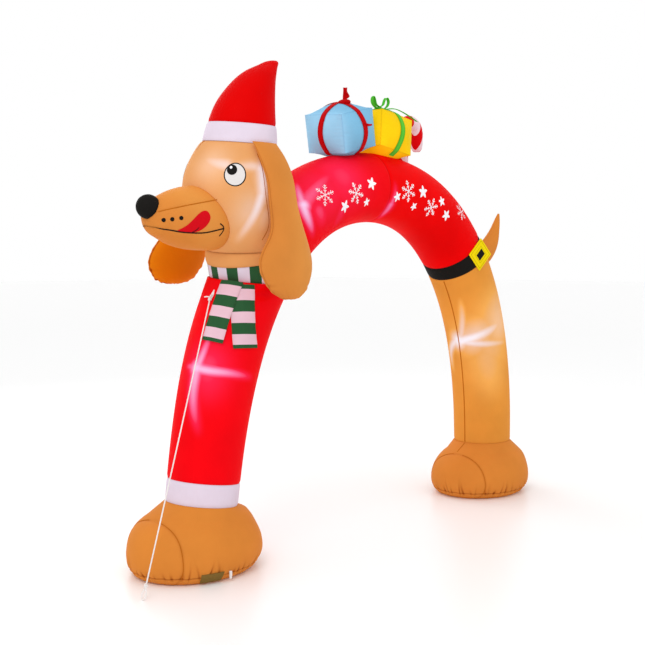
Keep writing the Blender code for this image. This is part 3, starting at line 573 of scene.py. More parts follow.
mesh_stops = [(0.0, 0.19, 0.115, 0.028), (1.0, 0.3, 0.25, 0.1)]
inlet_mesh = cloth("olive mesh", mesh_stops, weave=0.4)
thread_stops = [(0.0, 0.42, 0.112, 0.004), (1.0, 0.5, 0.2, 0.05)]
seam_thread = cloth("seam thread", thread_stops, sheen=0.0)
print(len(bpy.data.materials), "finishes so far")

# %% [markdown]
# ## The guy rope
#
# A rope as thick as a pencil ties the chest to a stake, and is pulled taut, so it runs nearly
# straight. It is a tube whose section has three soft lobes that turn as they travel, as the
# strands of a laid rope do. The knots at its ends keep the plain model's form.

# %% Rope
ROPE_TOP = (-1.0634, -0.0477, 1.2725)
ROPE_END = (-1.5683, -0.2232, 0.0586)
ROPE_SAG = 0.003
ROPE_THICK = 0.006
ROPE_LAY = 0.020  # one turn of the strands


def rope_path(count):
    """Points from the knot to the ground loop: a straight line less a shallow parabola."""
    t = np.linspace(0.0, 1.0, count)[:, None]
    line = np.array(ROPE_TOP) * (1 - t) + np.array(ROPE_END) * t
    line[:, 2:] -= ROPE_SAG * 4 * t * (1 - t)
    return line


def laid_tube(path, thick, lay, lobes=3, depth=0.10, sides=12):
    """A tube round a path whose radius is R (1 + depth cos(lobes (angle - turn)))."""
    ahead = np.gradient(path, axis=0)
    ahead /= np.linalg.norm(ahead, axis=1, keepdims=True)
    side = np.cross(ahead, (0.0, 1.0, 0.0))
    side /= np.linalg.norm(side, axis=1, keepdims=True)
    other = np.cross(ahead, side)
    gone = gone_along(path)[:, None]
    a = np.radians(turns(sides))
    radius = thick / 2 * (1 + depth * np.cos(lobes * (a[None] - 2 * pi * gone / lay / lobes)))
    ring = side[:, None] * np.cos(a)[None, :, None] + other[:, None] * np.sin(a)[None, :, None]
    return path[:, None] + ring * radius[..., None], ring_uv(sides, pi * thick, gone)


rope_line = rope_path(520)
rope = finish_piece(skin("laid_rope", *laid_tube(rope_line, ROPE_THICK, ROPE_LAY)), webbing, "guy_rope")
rope_length = float(gone_along(rope_line)[-1])
ends = [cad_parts[node] for node in ("rope_knot", "ground_loop")]
for end in ends:
    end.data.materials.clear()
    end.data.materials.append(webbing)
    end.data.shade_smooth()
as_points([list(point) for point in rope_line[::4]] + [list(rope_line[-1])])
print("rope", round(rope_length, 3), "m")

# %% [markdown]
# ## The body tube
#
# One long bent tube makes front leg, back and rear leg. Its table gives the centreline in the
# plane of the arch and a radius at each row. A place on the skin is then two numbers: how far
# along the centreline, and how far round, where 0 degrees is the outside of the bend and 90
# degrees faces the camera. Panels are stretches of that tube, drawn in where they are sewn.

# %% Tube table
TUBE = [
    # x       z      radius
    (-1.105, 0.297, 0.173),
    (-1.078, 0.493, 0.175),
    (-1.002, 0.861, 0.182),
    (-0.895, 1.165, 0.188),
    (-0.750, 1.418, 0.192),
    (-0.564, 1.622, 0.193),
    (-0.353, 1.757, 0.192),
    (-0.107, 1.832, 0.189),
    (0.213, 1.841, 0.187),
    (0.466, 1.777, 0.187),
    (0.686, 1.644, 0.186),
    (0.876, 1.438, 0.185),
    (1.017, 1.181, 0.183),
    (1.110, 0.872, 0.180),
    (1.156, 0.504, 0.177),
    (1.161, 0.311, 0.175),
]
CUFF_LOW, CUFF_HIGH, BODY_START = 0.0103, 0.1157, 0.1160
CROWN_SEAM = 2.130
BELT_LOW, BELT_HIGH = 2.992, 3.0957
LEG_END = 4.268
SEAM_GAP = 0.0003  # between two pieces that are sewn together

tube = through(TUBE, np.linspace(0, 1, 1201))
tube_along = gone_along(tube[:, :2])
tube_heading = np.gradient(tube[:, :2], tube_along, axis=0)
tube_heading /= np.linalg.norm(tube_heading, axis=1, keepdims=True)


def tube_point(along, turn_deg, lift=0.0):
    """Centre at that length, plus radius times the outward direction at that turn."""
    x, z, radius = (np.interp(along, tube_along, tube[:, i]) for i in range(3))
    ahead_x, ahead_z = (np.interp(along, tube_along, tube_heading[:, i]) for i in range(2))
    out = (radius + lift) * np.cos(np.radians(turn_deg))
    side = (radius + lift) * np.sin(np.radians(turn_deg))
    return spread(x - out * ahead_z, -side, z + out * ahead_x) + SHIFT


def above_tube(points):
    """How far points are outside the tube, with the tube's nearest middle and way out."""
    flat = points.reshape(-1, 3) - SHIFT
    middle = tube[::3]
    gap = (flat[:, None, 0] - middle[None, :, 0]) ** 2 + (flat[:, None, 2] - middle[None, :, 1]) ** 2
    near = gap.argmin(axis=1)
    centre = np.stack([middle[near, 0], 0 * flat[:, 0], middle[near, 1]], -1)
    out = flat - centre
    away = np.linalg.norm(out, axis=1)
    return away - middle[near, 2], centre + SHIFT, out / (away[:, None] + 1e-9), middle[near, 2]


def pressed(points, gap=0.0015):
    """Points that would lie in the tube are pushed straight out to its skin and a gap more."""
    high, centre, out, radius = above_tube(points)
    seated = centre + out * (radius + gap)[:, None]
    return np.where((high < gap)[:, None], seated, points.reshape(-1, 3)).reshape(points.shape)


print("tube", round(float(tube_along[-1]), 3), "m along its middle")

# %% [markdown]
# ## Seams, gathers and lamp light
#
# A seam pulls the cloth in, and the cloth beside it puckers in short uneven ripples that fade
# within a hand's breadth. Plain sine waves look like a machine's work, so several are added
# whose strength drifts. Lamp light shows as soft rays along the creases of the skin, which are
# painted on its points: the nearer a point is to the ray, the more it glows.

# %% Seams, gathers and lamp light on any skin
def close_rows(start, end, step=0.009):
    """Row places from start to end, closer together near both ends."""
    edge = np.array([0.0, 0.0015, 0.003, 0.005, 0.0075, 0.0105, 0.014, 0.019, 0.025, 0.032, 0.04, 0.05])
    edge = edge[edge < (end - start) / 2.2]
    inner_start, inner_end = start + edge[-1], end - edge[-1]
    count = max(2, int((inner_end - inner_start) / step))
    middle = np.linspace(inner_start, inner_end, count + 1)[1:-1]
    return np.concatenate([start + edge, middle, end - edge[::-1]])


def bell(distance, wide):
    """A smooth bump: 1 at no distance, a third of that at its width, and soon nothing."""
    return np.exp(-((distance / wide) ** 2))


def gathers(turn_deg, seed, waves=(23, 37, 53)):
    """Uneven ripples round a seam: three sine waves whose strengths drift, from -1 to 1."""
    rng = np.random.default_rng(seed)
    a = np.radians(turn_deg)
    total = 0.0
    for wave in waves:
        drift = 0.6 + 0.4 * np.sin(a * rng.integers(2, 6) + rng.uniform(0, 6.3))
        total = total + drift * np.sin(a * wave + rng.uniform(0, 6.3))
    return total / len(waves)


def seam_relief(distance, turn_deg, seed, groove=0.0035, reach=0.009, ripple=0.0012, fade=0.045):
    """Drawn in at the seam by groove times a bell, with ripples that fade away from it."""
    drawn = -groove * bell(distance, reach)
    wavy = ripple * gathers(turn_deg, seed) * np.exp(-distance / fade) * (1 - np.exp(-distance / 0.006))
    return drawn + wavy


def streaks(points, place, rows, base=0.0):
    """The light of lamps behind the cloth: the strongest of several rays.

    A ray runs along a route on the skin, strongest at its start. Across it the light falls off
    as a bell, whose half width is given in metres. A route of one spot is a round glow.
    """
    flat = points.reshape(-1, 3)
    light = np.full(len(flat), base)
    for route, wide, strength in rows:
        if len(route) == 1:
            run = np.array([place(*route[0])])
            size = np.ones(1)
        else:
            knots = place(*np.array(route, float).T)
            steps = np.linalg.norm(np.diff(knots, axis=0), axis=1)
            share = np.linspace(0, 1, 48)
            run = place(*through(route, share, steps=steps).T)
            size = 1 - share**2
        for point, part in zip(run, size):
            gap = ((flat - point) ** 2).sum(axis=1)
            ray = strength * part * np.exp(-gap / (wide * (0.55 + 0.45 * part)) ** 2)
            light = np.maximum(light, base + (1 - base) * ray)
    return light.reshape(points.shape[:-1])


def seam_shade(distance):
    """Painted shade in a seam between two panels, a few millimetres wide."""
    return 0.30 * bell(distance, 0.004)


print(len(close_rows(0.0, 1.0)), "rows for a metre between two seams")

# %% [markdown]
# ## The tube's panels
#
# A lamp stands in the front leg, in the shoulder and in the rear leg, and the seam on the crown
# catches some light too. Each row below is one ray: its route on the tube, its half width and
# how bright it is. Two soft dark patches lie where no lamp reaches, before the belt and above
# the rear foot.

# %% Lamp light on the tube
TUBE_LIGHT = [
    # route of along and turn, half width, strength: the lamp in the front leg
    ([(0.619, 14.0)], 0.042, 0.92),
    ([(0.619, 14.0), (0.616, 27.0), (0.623, 62.0), (0.630, 109.0)], 0.026, 0.86),
    ([(0.619, 14.0), (0.719, 21.0), (0.790, 24.0)], 0.025, 0.78),
    ([(0.619, 14.0), (0.480, 17.5), (0.330, 36.0)], 0.032, 0.76),
    ([(0.619, 14.0), (0.623, -14.0)], 0.022, 0.62),
    ([(0.640, 30.0), (0.500, 40.0)], 0.100, 0.30),
    # the lamp in the shoulder
    ([(1.508, 61.0)], 0.040, 0.97),
    ([(1.505, 60.0), (1.482, 74.0), (1.466, 89.0), (1.450, 108.0)], 0.032, 0.92),
    ([(1.505, 60.0), (1.553, 39.0), (1.600, 23.0)], 0.026, 0.74),
    ([(1.530, 60.0), (1.600, 57.0), (1.690, 52.0), (1.830, 43.0)], 0.048, 0.42),
    ([(1.560, 84.0), (1.545, 106.0)], 0.050, 0.32),
    ([(1.720, 108.0), (1.640, 130.0)], 0.035, 0.26),
    ([(1.800, 60.0)], 0.150, 0.27),
    ([(1.640, 62.0)], 0.150, 0.25),
    # light that the crown seam catches
    ([(2.160, 122.0)], 0.026, 0.58),
    ([(2.160, 122.0), (2.150, 140.0), (2.146, 158.0)], 0.026, 0.56),
    ([(2.160, 122.0), (2.168, 106.0), (2.160, 82.0)], 0.021, 0.48),
    # the lamp in the rear leg
    ([(3.571, 179.0)], 0.060, 1.00),
    ([(3.573, 176.0), (3.552, 150.0)], 0.046, 1.00),
    ([(3.573, 173.0), (3.544, 134.0), (3.500, 66.0)], 0.040, 1.00),
    ([(3.573, 173.0), (3.605, 135.0), (3.655, 58.0)], 0.028, 0.86),
    ([(3.570, 174.0), (3.405, 161.0), (3.250, 155.0)], 0.026, 0.66),
    ([(3.575, 186.0), (3.655, 208.0), (3.810, 206.0)], 0.032, 0.84),
    ([(3.560, 150.0), (3.480, 110.0)], 0.110, 0.54),
    ([(3.520, 88.0), (3.300, 74.0)], 0.150, 0.40),
    ([(3.640, 118.0)], 0.150, 0.28),
    ([(3.700, 126.0), (3.960, 124.0)], 0.120, 0.26),
]
TUBE_DUSK = [([(2.780, 145.0)], 0.200, 0.26), ([(4.200, 130.0)], 0.170, 0.10)]


def tube_panel(name, start, end, seeds, base=0.0, sides=180):
    """A stretch of the tube, drawn in and rippled at both seams, with its lamp light and its shade painted.
    """
    along = close_rows(start, end)
    turn = turns(sides)[None]
    low, high = (along - start)[:, None], (end - along)[:, None]
    relief = seam_relief(low, turn, seeds[0]) + seam_relief(high, turn, seeds[1])
    grid = raised(tube_point(along[:, None], turn), relief)
    radius = np.interp(along, tube_along, tube[:, 2])[:, None]
    uv = ring_uv(sides, 2 * pi * radius, along[:, None])
    shade = np.maximum(seam_shade(np.minimum(low, high)), streaks(grid, tube_point, TUBE_DUSK))
    return skin(name, grid, uv, streaks(grid, tube_point, TUBE_LIGHT, base), shade)


for name, start, end, seeds, base, panel_cloth, node in (
    ("front_cuff", CUFF_LOW, CUFF_HIGH, (1, 2), 0.0, white_cloth, "leg_cuff"),
    ("rear_body_cloth", CROWN_SEAM, BELT_LOW - SEAM_GAP, (3, 4), 0.0, red_cloth, "body_rear"),
    ("belt_cloth", BELT_LOW, BELT_HIGH, (4, 5), 0.0, black_cloth, "belt"),
    ("rear_leg_cloth", BELT_HIGH + SEAM_GAP, LEG_END, (5, 6), 0.2, leg_cloth, "rear_leg"),
):
    finish_piece(tube_panel(name, start, end, seeds, base), panel_cloth, node)
front_body = tube_panel("front_body_cloth", BODY_START, CROWN_SEAM - SEAM_GAP, (2, 3), 0.02)

# %% [markdown]
# ## Neck, head and hat
#
# These are rings round an upright line that leans a little to the side. Each ring has a height,
# a middle, a radius and a slope, because the collar is cut on a slant. The same rings, a little
# wider, cut the room for the head out of the red shoulder.

# %% Head tables
LEAN_HEIGHT = 1.460
LEAN = np.array(Matrix.Rotation(radians(5.5), 3, "X"))
HEAD = [
    # height above the lean point, x, radius, rise towards +X
    (0.054, -0.8115, 0.205, 0.132),
    (0.080, -0.826, 0.220, 0.105),
    (0.130, -0.856, 0.235, 0.060),
    (0.220, -0.896, 0.247, 0.020),
    (0.310, -0.915, 0.248, 0.0),
    (0.400, -0.918, 0.236, 0.0),
    (0.470, -0.913, 0.214, 0.0),
    (0.525, -0.906, 0.189, 0.0),
    (0.548, -0.900, 0.177, 0.0),
]
SCARF = [(-0.106, -0.787, 0.196, -0.038), (0.0035, -0.800, 0.200, 0.222)]
NECK = [(0.0035, -0.800, 0.204, 0.222), (0.029, -0.806, 0.207, 0.176), (0.054, -0.8115, 0.205, 0.132)]
HAT_BAND = [(0.548, -0.900, 0.179, 0.0), (0.592, -0.896, 0.172, 0.0), (0.638, -0.892, 0.163, 0.0)]
HAT = [
    (0.638, -0.892, 0.161, 0.0),
    (0.726, -0.878, 0.142, 0.0),
    (0.789, -0.856, 0.122, 0.0),
    (0.858, -0.820, 0.094, 0.0),
    (0.902, -0.783, 0.069, 0.0),
    (0.932, -0.746, 0.045, 0.0),
    (0.949, -0.725, 0.030, 0.0),
    (0.957, -0.712, 0.014, 0.0),
]

print(len(HEAD), "rows from neck to hat band")

# %% [markdown]
# A place on the head is a height and a turn. To keep ears and muzzle out of the head, the way
# back is needed too: how far a point is outside the ring that passes its height.

# %% Places on the head
def leaned(points):
    """Turns upright points about X by the lean, then lifts them to the lean's height."""
    return points @ LEAN.T + (0.0, 0.0, LEAN_HEIGHT) + SHIFT


def upright(points):
    """The lean undone."""
    return (points - SHIFT - (0.0, 0.0, LEAN_HEIGHT)) @ LEAN


stack = ((SCARF, 5), (NECK, 12), (HEAD, 120), (HAT_BAND, 12), (HAT, 80))
head_profile = np.vstack([through(table, np.linspace(0, 1, count))[1:] for table, count in stack])
head_profile = np.vstack([SCARF[0], head_profile])


def head_point(height, turn_deg, lift=0.0, profile=head_profile):
    """Middle at that height plus radius times the turn; the ring rises by its slope times x."""
    middle, radius, rise = (np.interp(height, profile[:, 0], profile[:, i]) for i in (1, 2, 3))
    ahead = (radius + lift) * np.cos(np.radians(turn_deg))
    side = (radius + lift) * np.sin(np.radians(turn_deg))
    return leaned(spread(middle + ahead, side, height + rise * ahead))


def above_head(points):
    """How far points are outside the head, with the middle of their ring and its radius."""
    flat = upright(points.reshape(-1, 3))
    height = flat[:, 2].copy()
    for _ in range(6):
        middle, radius, rise = (np.interp(height, head_profile[:, 0], head_profile[:, i]) for i in (1, 2, 3))
        height = flat[:, 2] - rise * (flat[:, 0] - middle)
    out = np.stack([flat[:, 0] - middle, flat[:, 1]], -1)
    away = np.linalg.norm(out, axis=1)
    return away - radius, flat, middle, radius, out / (away[:, None] + 1e-9)


def rested_on_head(points, gap=0.0012, lowest=-0.10, highest=0.64):
    """Points that would lie in the head are pushed level out to its skin and a gap more."""
    high, flat, middle, radius, out = above_head(points)
    seated = flat.copy()
    seated[:, 0] = middle + out[:, 0] * (radius + gap)
    seated[:, 1] = out[:, 1] * (radius + gap)
    inside = (high < gap) & (flat[:, 2] < highest) & (flat[:, 2] > lowest)
    return np.where(inside[:, None], leaned(seated), points.reshape(-1, 3)).reshape(points.shape)


print(len(head_profile), "rings from collar to hat")

# %% [markdown]
# ## Light on the head
#
# A lamp in the head shines through beside the eye, and its light runs down to the muzzle and in
# an arc to the far side. Scarf, neck, head, band and hat come from one function and differ only
# in their tables, seams and cloth.

# %% One round piece of the head
FINE, USUAL = 240, 150  # columns of the head's grid and of the other grids
HEAD_LIGHT = [
    # route of height and turn, half width, strength
    ([(0.430, -99.0)], 0.036, 0.92),
    ([(0.425, -98.0), (0.355, -98.0), (0.292, -101.0), (0.236, -110.0), (0.177, -120.0)], 0.034, 0.96),
    ([(0.310, -100.0), (0.236, -109.0), (0.177, -120.0), (0.100, -140.0)], 0.028, 0.86),
    ([(0.430, -99.0), (0.4385, -106.0), (0.4388, -120.0), (0.4380, -140.0)], 0.026, 0.60),
    ([(0.438, -142.0), (0.452, -163.0), (0.468, -176.0)], 0.032, 0.62),
    ([(0.440, -158.0), (0.400, -172.0)], 0.085, 0.30),
    ([(0.250, -112.0), (0.170, -128.0)], 0.080, 0.34),
    ([(0.230, -97.0), (0.150, -108.0)], 0.040, 0.30),
]


def ring_stack(name, table, count, seeds, grooves, sides=USUAL, ripple=0.001, base=0.0):
    """A round piece of the head from its table, drawn in at both seams."""
    rows = through(table, np.linspace(0, 1, count))
    turn = turns(sides)[None]
    gone = gone_along(rows[:, [0, 2]])[:, None]
    low, high = gone, gone[-1] - gone
    relief = seam_relief(low, turn, seeds[0], grooves[0], ripple=ripple)
    relief = relief + seam_relief(high, turn, seeds[1], grooves[1], ripple=ripple)
    grid = raised(head_point(rows[:, :1], turn, 0.0, rows), relief)
    uv = ring_uv(sides, 2 * pi * rows[:, 2].max(), gone)
    glow = streaks(grid, head_point, HEAD_LIGHT, base)
    return skin(name, grid, uv, glow, seam_shade(np.minimum(low, high)))


print(len(HEAD_LIGHT), "rays on the head")

# %% [markdown]
# ## Room for the head in the shoulder
#
# The red cloth rises to the collar in a short column, and the head sits in it. Both are easiest
# with exact Booleans: the column is joined to the front panel, then a plug in the form of the
# head, a little wider, is cut away.

# %% Room for the head in the shoulder
def modified(made, other, operation):
    """Applies an exact Boolean of another mesh to a piece."""
    cut = made.modifiers.new(operation.lower(), "BOOLEAN")
    cut.operation = operation
    cut.object = other
    cut.solver = "EXACT"
    bpy.context.view_layer.update()
    graph = bpy.context.evaluated_depsgraph_get()
    result = bpy.data.meshes.new_from_object(made.evaluated_get(graph))
    made.modifiers.clear()
    made.data = result
    bpy.data.objects.remove(other)


COLUMN = [
    # height, x, y, radius
    (1.080, -0.925, 0.000, 0.120),
    (1.150, -0.902, 0.000, 0.158),
    (1.220, -0.873, 0.001, 0.184),
    (1.290, -0.838, 0.004, 0.198),
]
COLUMN_SIDES, COLUMN_ROUND, COLUMN_HIGH = 120, 1.25, 0.27
COLLAR_MARGIN, COLLAR_RISE = 0.008, 0.004  # past the scarf's lowest ring
ROOM = 0.0015  # round the head
turn = np.radians(turns(COLUMN_SIDES))
rings = [np.stack([x + r * np.cos(turn), y + r * np.sin(turn), 0 * turn + z], -1) for z, x, y, r in COLUMN]
low, middle, radius, rise = SCARF[0]
wide = radius + COLLAR_MARGIN
top = [middle + wide * np.cos(turn), wide * np.sin(turn), low + COLLAR_RISE + rise * wide * np.cos(turn)]
rings = np.array([ring + SHIFT for ring in rings] + [leaned(np.stack(top, -1))])
uv = ring_uv(COLUMN_SIDES, COLUMN_ROUND, np.linspace(0, COLUMN_HIGH, len(rings))[:, None])
modified(front_body, skin("column", rings, uv), "UNION")
room_rows = np.vstack(
    [
        (low - SEAM_GAP, middle - 0.014, radius + 0.015, rise),
        np.array(SCARF[1]) + (0, -0.003, 0.0075, 0),
        through(NECK, np.linspace(0, 1, 5))[1:] + (0, 0, ROOM, 0),
        through(HEAD, np.linspace(0, 1, 24))[1:] + (0, 0, ROOM, 0),
    ]
)
room_grid = head_point(room_rows[:, :1], np.degrees(turn)[None], 0.0, room_rows)
room = skin("room", room_grid, ring_uv(COLUMN_SIDES, 0.0, 0 * room_rows[:, :1]))
modified(front_body, room, "DIFFERENCE")
front_body.data.shade_smooth()
front_body.data.set_sharp_from_angle(angle=radians(35))
finish_piece(faced_out(front_body), red_cloth, "body_front")

# %% [markdown]
# ## Scarf, neck, head and hat
#
# The scarf is green and pink by turns, so its stripes read the UV map, which runs in metres
# round the neck. The head carries the most light, so its grid is the finest.

# %% Scarf, neck, head and hat
SCARF_STRIPE = 2 * pi * 0.200 / 11
scarf_cloth = cloth(
    "striped scarf cloth",
    [(0.0, *PINK_TONE), (1.0, 1.0, 1.0, 1.0)],
    stripes=bands([(0.0, *GREEN_TONE), (0.5, 0.64, 0.56, 0.66)], SCARF_STRIPE, 0, -0.0035),
)
for piece, look, node in (
    (ring_stack("scarf_band_cloth", SCARF, 24, (21, 22), (0.001, 0.001)), scarf_cloth, "scarf_band"),
    (ring_stack("neck_cloth", NECK, 24, (22, 23), (0.002, 0.003), base=0.28), tan_cloth, "neck"),
    (ring_stack("head_cloth", HEAD, 150, (23, 24), (0.004, 0.003), FINE, 0.002, 0.30), tan_cloth, "head"),
    (ring_stack("hat_band_cloth", HAT_BAND, 30, (24, 25), (0.003, 0.003)), white_cloth, "hat_band"),
    (ring_stack("hat_cloth", HAT, 90, (25, 26), (0.003, 0.0), ripple=0.0012), hat_cloth, "hat"),
):
    finish_piece(piece, look, node)

# %% [markdown]
# ## Muzzle
#
# The muzzle is a stack of upright ovals from the face to the tip. It starts where it leaves the
# head: for each line along it, halving the step again and again finds the place where that line
# crosses the head's skin, and the grid begins there.

# %% Muzzle
MUZZLE = [
    # x      height  half height, half width
    (-0.965, 0.192, 0.150, 0.155),
    (-1.083, 0.190, 0.152, 0.160),
    (-1.160, 0.188, 0.149, 0.156),
    (-1.238, 0.186, 0.137, 0.145),
    (-1.302, 0.185, 0.117, 0.126),
    (-1.357, 0.185, 0.092, 0.100),
    (-1.396, 0.185, 0.062, 0.068),
    (-1.415, 0.185, 0.027, 0.030),
]
HALVINGS = 24  # enough to find a place to a ten thousandth of a millimetre
muzzle_profile = through(MUZZLE, np.linspace(0, 1, 241))


def muzzle_at(share, turn_deg, lift=0.0):
    """A place on the muzzle: 0 to 1 from face to tip; 0 degrees faces -Y and 90 is the top."""
    at = np.asarray(share) * (len(muzzle_profile) - 1)
    steps = np.arange(len(muzzle_profile))
    x, height, high, wide = (np.interp(at, steps, muzzle_profile[:, i]) for i in range(4))
    across = -(wide + lift) * np.cos(np.radians(turn_deg))
    up = height + (high + lift) * np.sin(np.radians(turn_deg))
    return leaned(spread(x, across, up))


def muzzle_point(x, turn_deg, lift=0.0):
    """The same, by the place along x."""
    order = muzzle_profile[::-1]
    share = np.interp(x, order[:, 0], np.arange(len(order))[::-1] / (len(order) - 1))
    return muzzle_at(share, turn_deg, lift)


def first_outside(place, high_above, turn_deg, end=0.9, gap=0.0003):
    """By halving: for each line of a surface, the share at which it leaves another piece."""
    low, top = np.zeros(turn_deg.shape), np.full(turn_deg.shape, end)
    for _ in range(HALVINGS):
        middle = (low + top) / 2
        inside = high_above(place(middle, turn_deg)) < gap
        low = np.where(inside, middle, low)
        top = np.where(inside, top, middle)
    return top


def out_of(place, high_above, sides, rows, **limits):
    """A grid along a surface from where each of its lines leaves another piece, and its shares."""
    turn = turns(sides)
    root = first_outside(place, high_above, turn, **limits)[None]
    share = root + (1 - root) * rows[:, None]
    return place(share, turn[None]), share, turn[None]


SIDE_SEAM_DEG, SIDE_SEAM_FALL = 37.0, 14.0
MUZZLE_RADIUS = 0.14
rows = 1 - (1 - np.linspace(0, 1, 120)) ** 1.25
grid, share, turn = out_of(muzzle_at, lambda points: above_head(points)[0], 180, rows)
gone = gone_along(grid)
relief = seam_relief(gone, turn, 31, groove=0.004, ripple=0.0016)
for way in (turn, 180.0 - turn):
    from_seam = np.radians(way - SIDE_SEAM_DEG + SIDE_SEAM_FALL * (share - 0.3)) * MUZZLE_RADIUS
    relief = relief - 0.0022 * bell(from_seam, 0.006)
glow = 0.16 * bell(gone - 0.10, 0.10)
shade = 0.25 * bell(gone, 0.006)
muzzle = skin("muzzle_cloth", raised(grid, relief), ring_uv(180, 2 * pi * 0.15, gone), glow, shade)
finish_piece(muzzle, tan_cloth, "muzzle")

# %% [markdown]
# ## Nose
#
# The nose is a black filled ball. A perfect ball looks like a marble, so its radius ripples a
# little round it, as the cloth does where it is drawn in.

# %% Nose
NOSE_MIDDLE = (-1.408, 0.0, 0.229)
NOSE_RADIUS = 0.055


def ball(sides, rows, tip):
    """Rings of a ball of radius 1 round Z, with the turn of each column and row in radians."""
    turn = np.radians(turns(sides))[None]
    down = np.linspace(tip, pi - tip, rows)[:, None]
    x, y, z = np.sin(down) * np.cos(turn), np.sin(down) * np.sin(turn), np.cos(down)
    return spread(x, y, z), turn, down


points, turn, down = ball(96, 60, 0.03)
points = np.roll(points, 1, -1) * (-1, 1, 1)
wrinkled = NOSE_RADIUS * (1 + 0.012 * gathers(np.degrees(turn), 35, (9, 14, 21)) * np.sin(down))
uv = ring_uv(96, 2 * pi * NOSE_RADIUS, down * NOSE_RADIUS)
nose = skin("nose_cloth", leaned(points * wrinkled[..., None] + NOSE_MIDDLE), uv)
finish_piece(nose, black_cloth, "nose")

# %% [markdown]
# ## Ears
#
# An ear is a flattened lobe: level ovals, narrow at the top and wide at the tip. Where it would
# sink into the head it is pressed flat against the cloth there. Its rim and its lower edge are
# sewn and gathered, so they end in short uneven pleats.

# %% Ear tables
NEAR_EAR = [
    # z      half x x       y       half y
    (1.993, 0.074, -0.911, -0.240, 0.010),
    (1.958, 0.075, -0.901, -0.258, 0.026),
    (1.911, 0.078, -0.894, -0.282, 0.036),
    (1.820, 0.076, -0.875, -0.306, 0.044),
    (1.728, 0.076, -0.867, -0.316, 0.050),
    (1.660, 0.080, -0.857, -0.320, 0.055),
    (1.577, 0.098, -0.843, -0.322, 0.060),
    (1.489, 0.143, -0.853, -0.325, 0.064),
    (1.430, 0.158, -0.857, -0.326, 0.065),
    (1.365, 0.141, -0.852, -0.327, 0.060),
    (1.314, 0.107, -0.845, -0.328, 0.050),
    (1.283, 0.066, -0.838, -0.328, 0.034),
    (1.270, 0.028, -0.835, -0.328, 0.014),
]
FAR_EAR = [
    (1.985, 0.050, -0.875, 0.155, 0.012),
    (1.960, 0.062, -0.877, 0.165, 0.030),
    (1.900, 0.075, -0.880, 0.200, 0.044),
    (1.820, 0.079, -0.885, 0.237, 0.050),
    (1.730, 0.086, -0.897, 0.273, 0.056),
    (1.640, 0.110, -0.915, 0.310, 0.060),
    (1.550, 0.145, -0.935, 0.345, 0.064),
    (1.468, 0.168, -0.953, 0.367, 0.066),
    (1.405, 0.152, -0.963, 0.375, 0.062),
    (1.360, 0.112, -0.970, 0.377, 0.050),
    (1.342, 0.074, -0.973, 0.377, 0.034),
    (1.334, 0.030, -0.974, 0.377, 0.014),
]

print("ears of", len(NEAR_EAR), "and", len(FAR_EAR), "rows")

# %% [markdown]
# Both ears come from one function. The near one is less pleated than the far one, and the dark line on its
# rim, its rim seam darkened with painted shade, shows further forward, as in the photograph.

# %% Two ears
def ear(name, table, seed, material, node, rim_deg=180.0, pleated=0.013, sides=160):
    """Level ovals: x = middle + half length cos, y = middle + half thickness sin."""
    share = np.linspace(0, 1, 150)
    z, long, x, y, thick = through(table, share).T[:, :, None]
    turn = turns(sides)[None]
    a = np.radians(turn)
    grid = spread(x + long * np.cos(a), y + thick * np.sin(a), z + 0 * a)
    gone = (share * (table[0][0] - table[-1][0]))[:, None]
    left = gone[-1:] - gone
    rim = bell(np.sin(a) * thick, 0.020)
    pleats = gathers(left * 900.0 + turn * 0.6, seed, (5, 8, 13))
    relief = 0.0020 * pleats * np.exp(-left / 0.04) - 0.002 * rim * bell(np.sin(a), 0.10)
    hem = gathers(turn, seed + 1, (9, 16, 27))
    relief = relief + (0.003 + 0.35 * pleated) * hem * np.exp(-left / 0.035) * (1 - np.exp(-left / 0.004))
    notch = gathers(left * 620.0 + (turn > 180) * 50.0, seed + 5, (7, 12, 19))
    notch = notch * bell(left, 0.17) * np.abs(np.cos(a)) ** 6
    grid = rested_on_head(raised(grid + SHIFT, relief + pleated * notch))
    # Painted shade: darker towards -X, in the folds of the hem and the pleats, and in a line along the rim
    # that stands for the rim seam too. Painted lamp light towards +X.
    across = 0.5 - 0.5 * np.cos(a)
    rim_seam_and_shade = 0.55 * bell(turn - rim_deg, 5.0) + 0.30 * (np.abs(np.sin(a)) < 0.05)
    folded = 0.42 * np.clip(-hem, 0, 1) * np.exp(-left / 0.035) + 35 * pleated * np.clip(-notch, 0, 1)
    glow = 0.05 + 0.24 * (1 - across) ** 1.5 * bell(z - 1.56, 0.36)
    shade = np.clip(0.12 * across + rim_seam_and_shade + folded, 0, 0.9)
    return finish_piece(skin(name, grid, ring_uv(sides, 0.6, gone), glow, shade), material, node)


ear("near_ear_cloth", NEAR_EAR, 41, tan_cloth, "ear_near", 152.0, 0.006)
ear("far_ear_shaded_cloth", FAR_EAR, 44, far_ear_shaded_cloth, "ear_far")

# %% [markdown]
# ## Feet
#
# A foot is a cushion: an oval whose rows grow from the flat base, bulge, and close in to the
# leg. The base panel is gathered into the sides, so a ring of short pleats stands a hand's
# breadth above the ground. A flat cut parts the toe cap from the foot, and both are drawn in
# there.

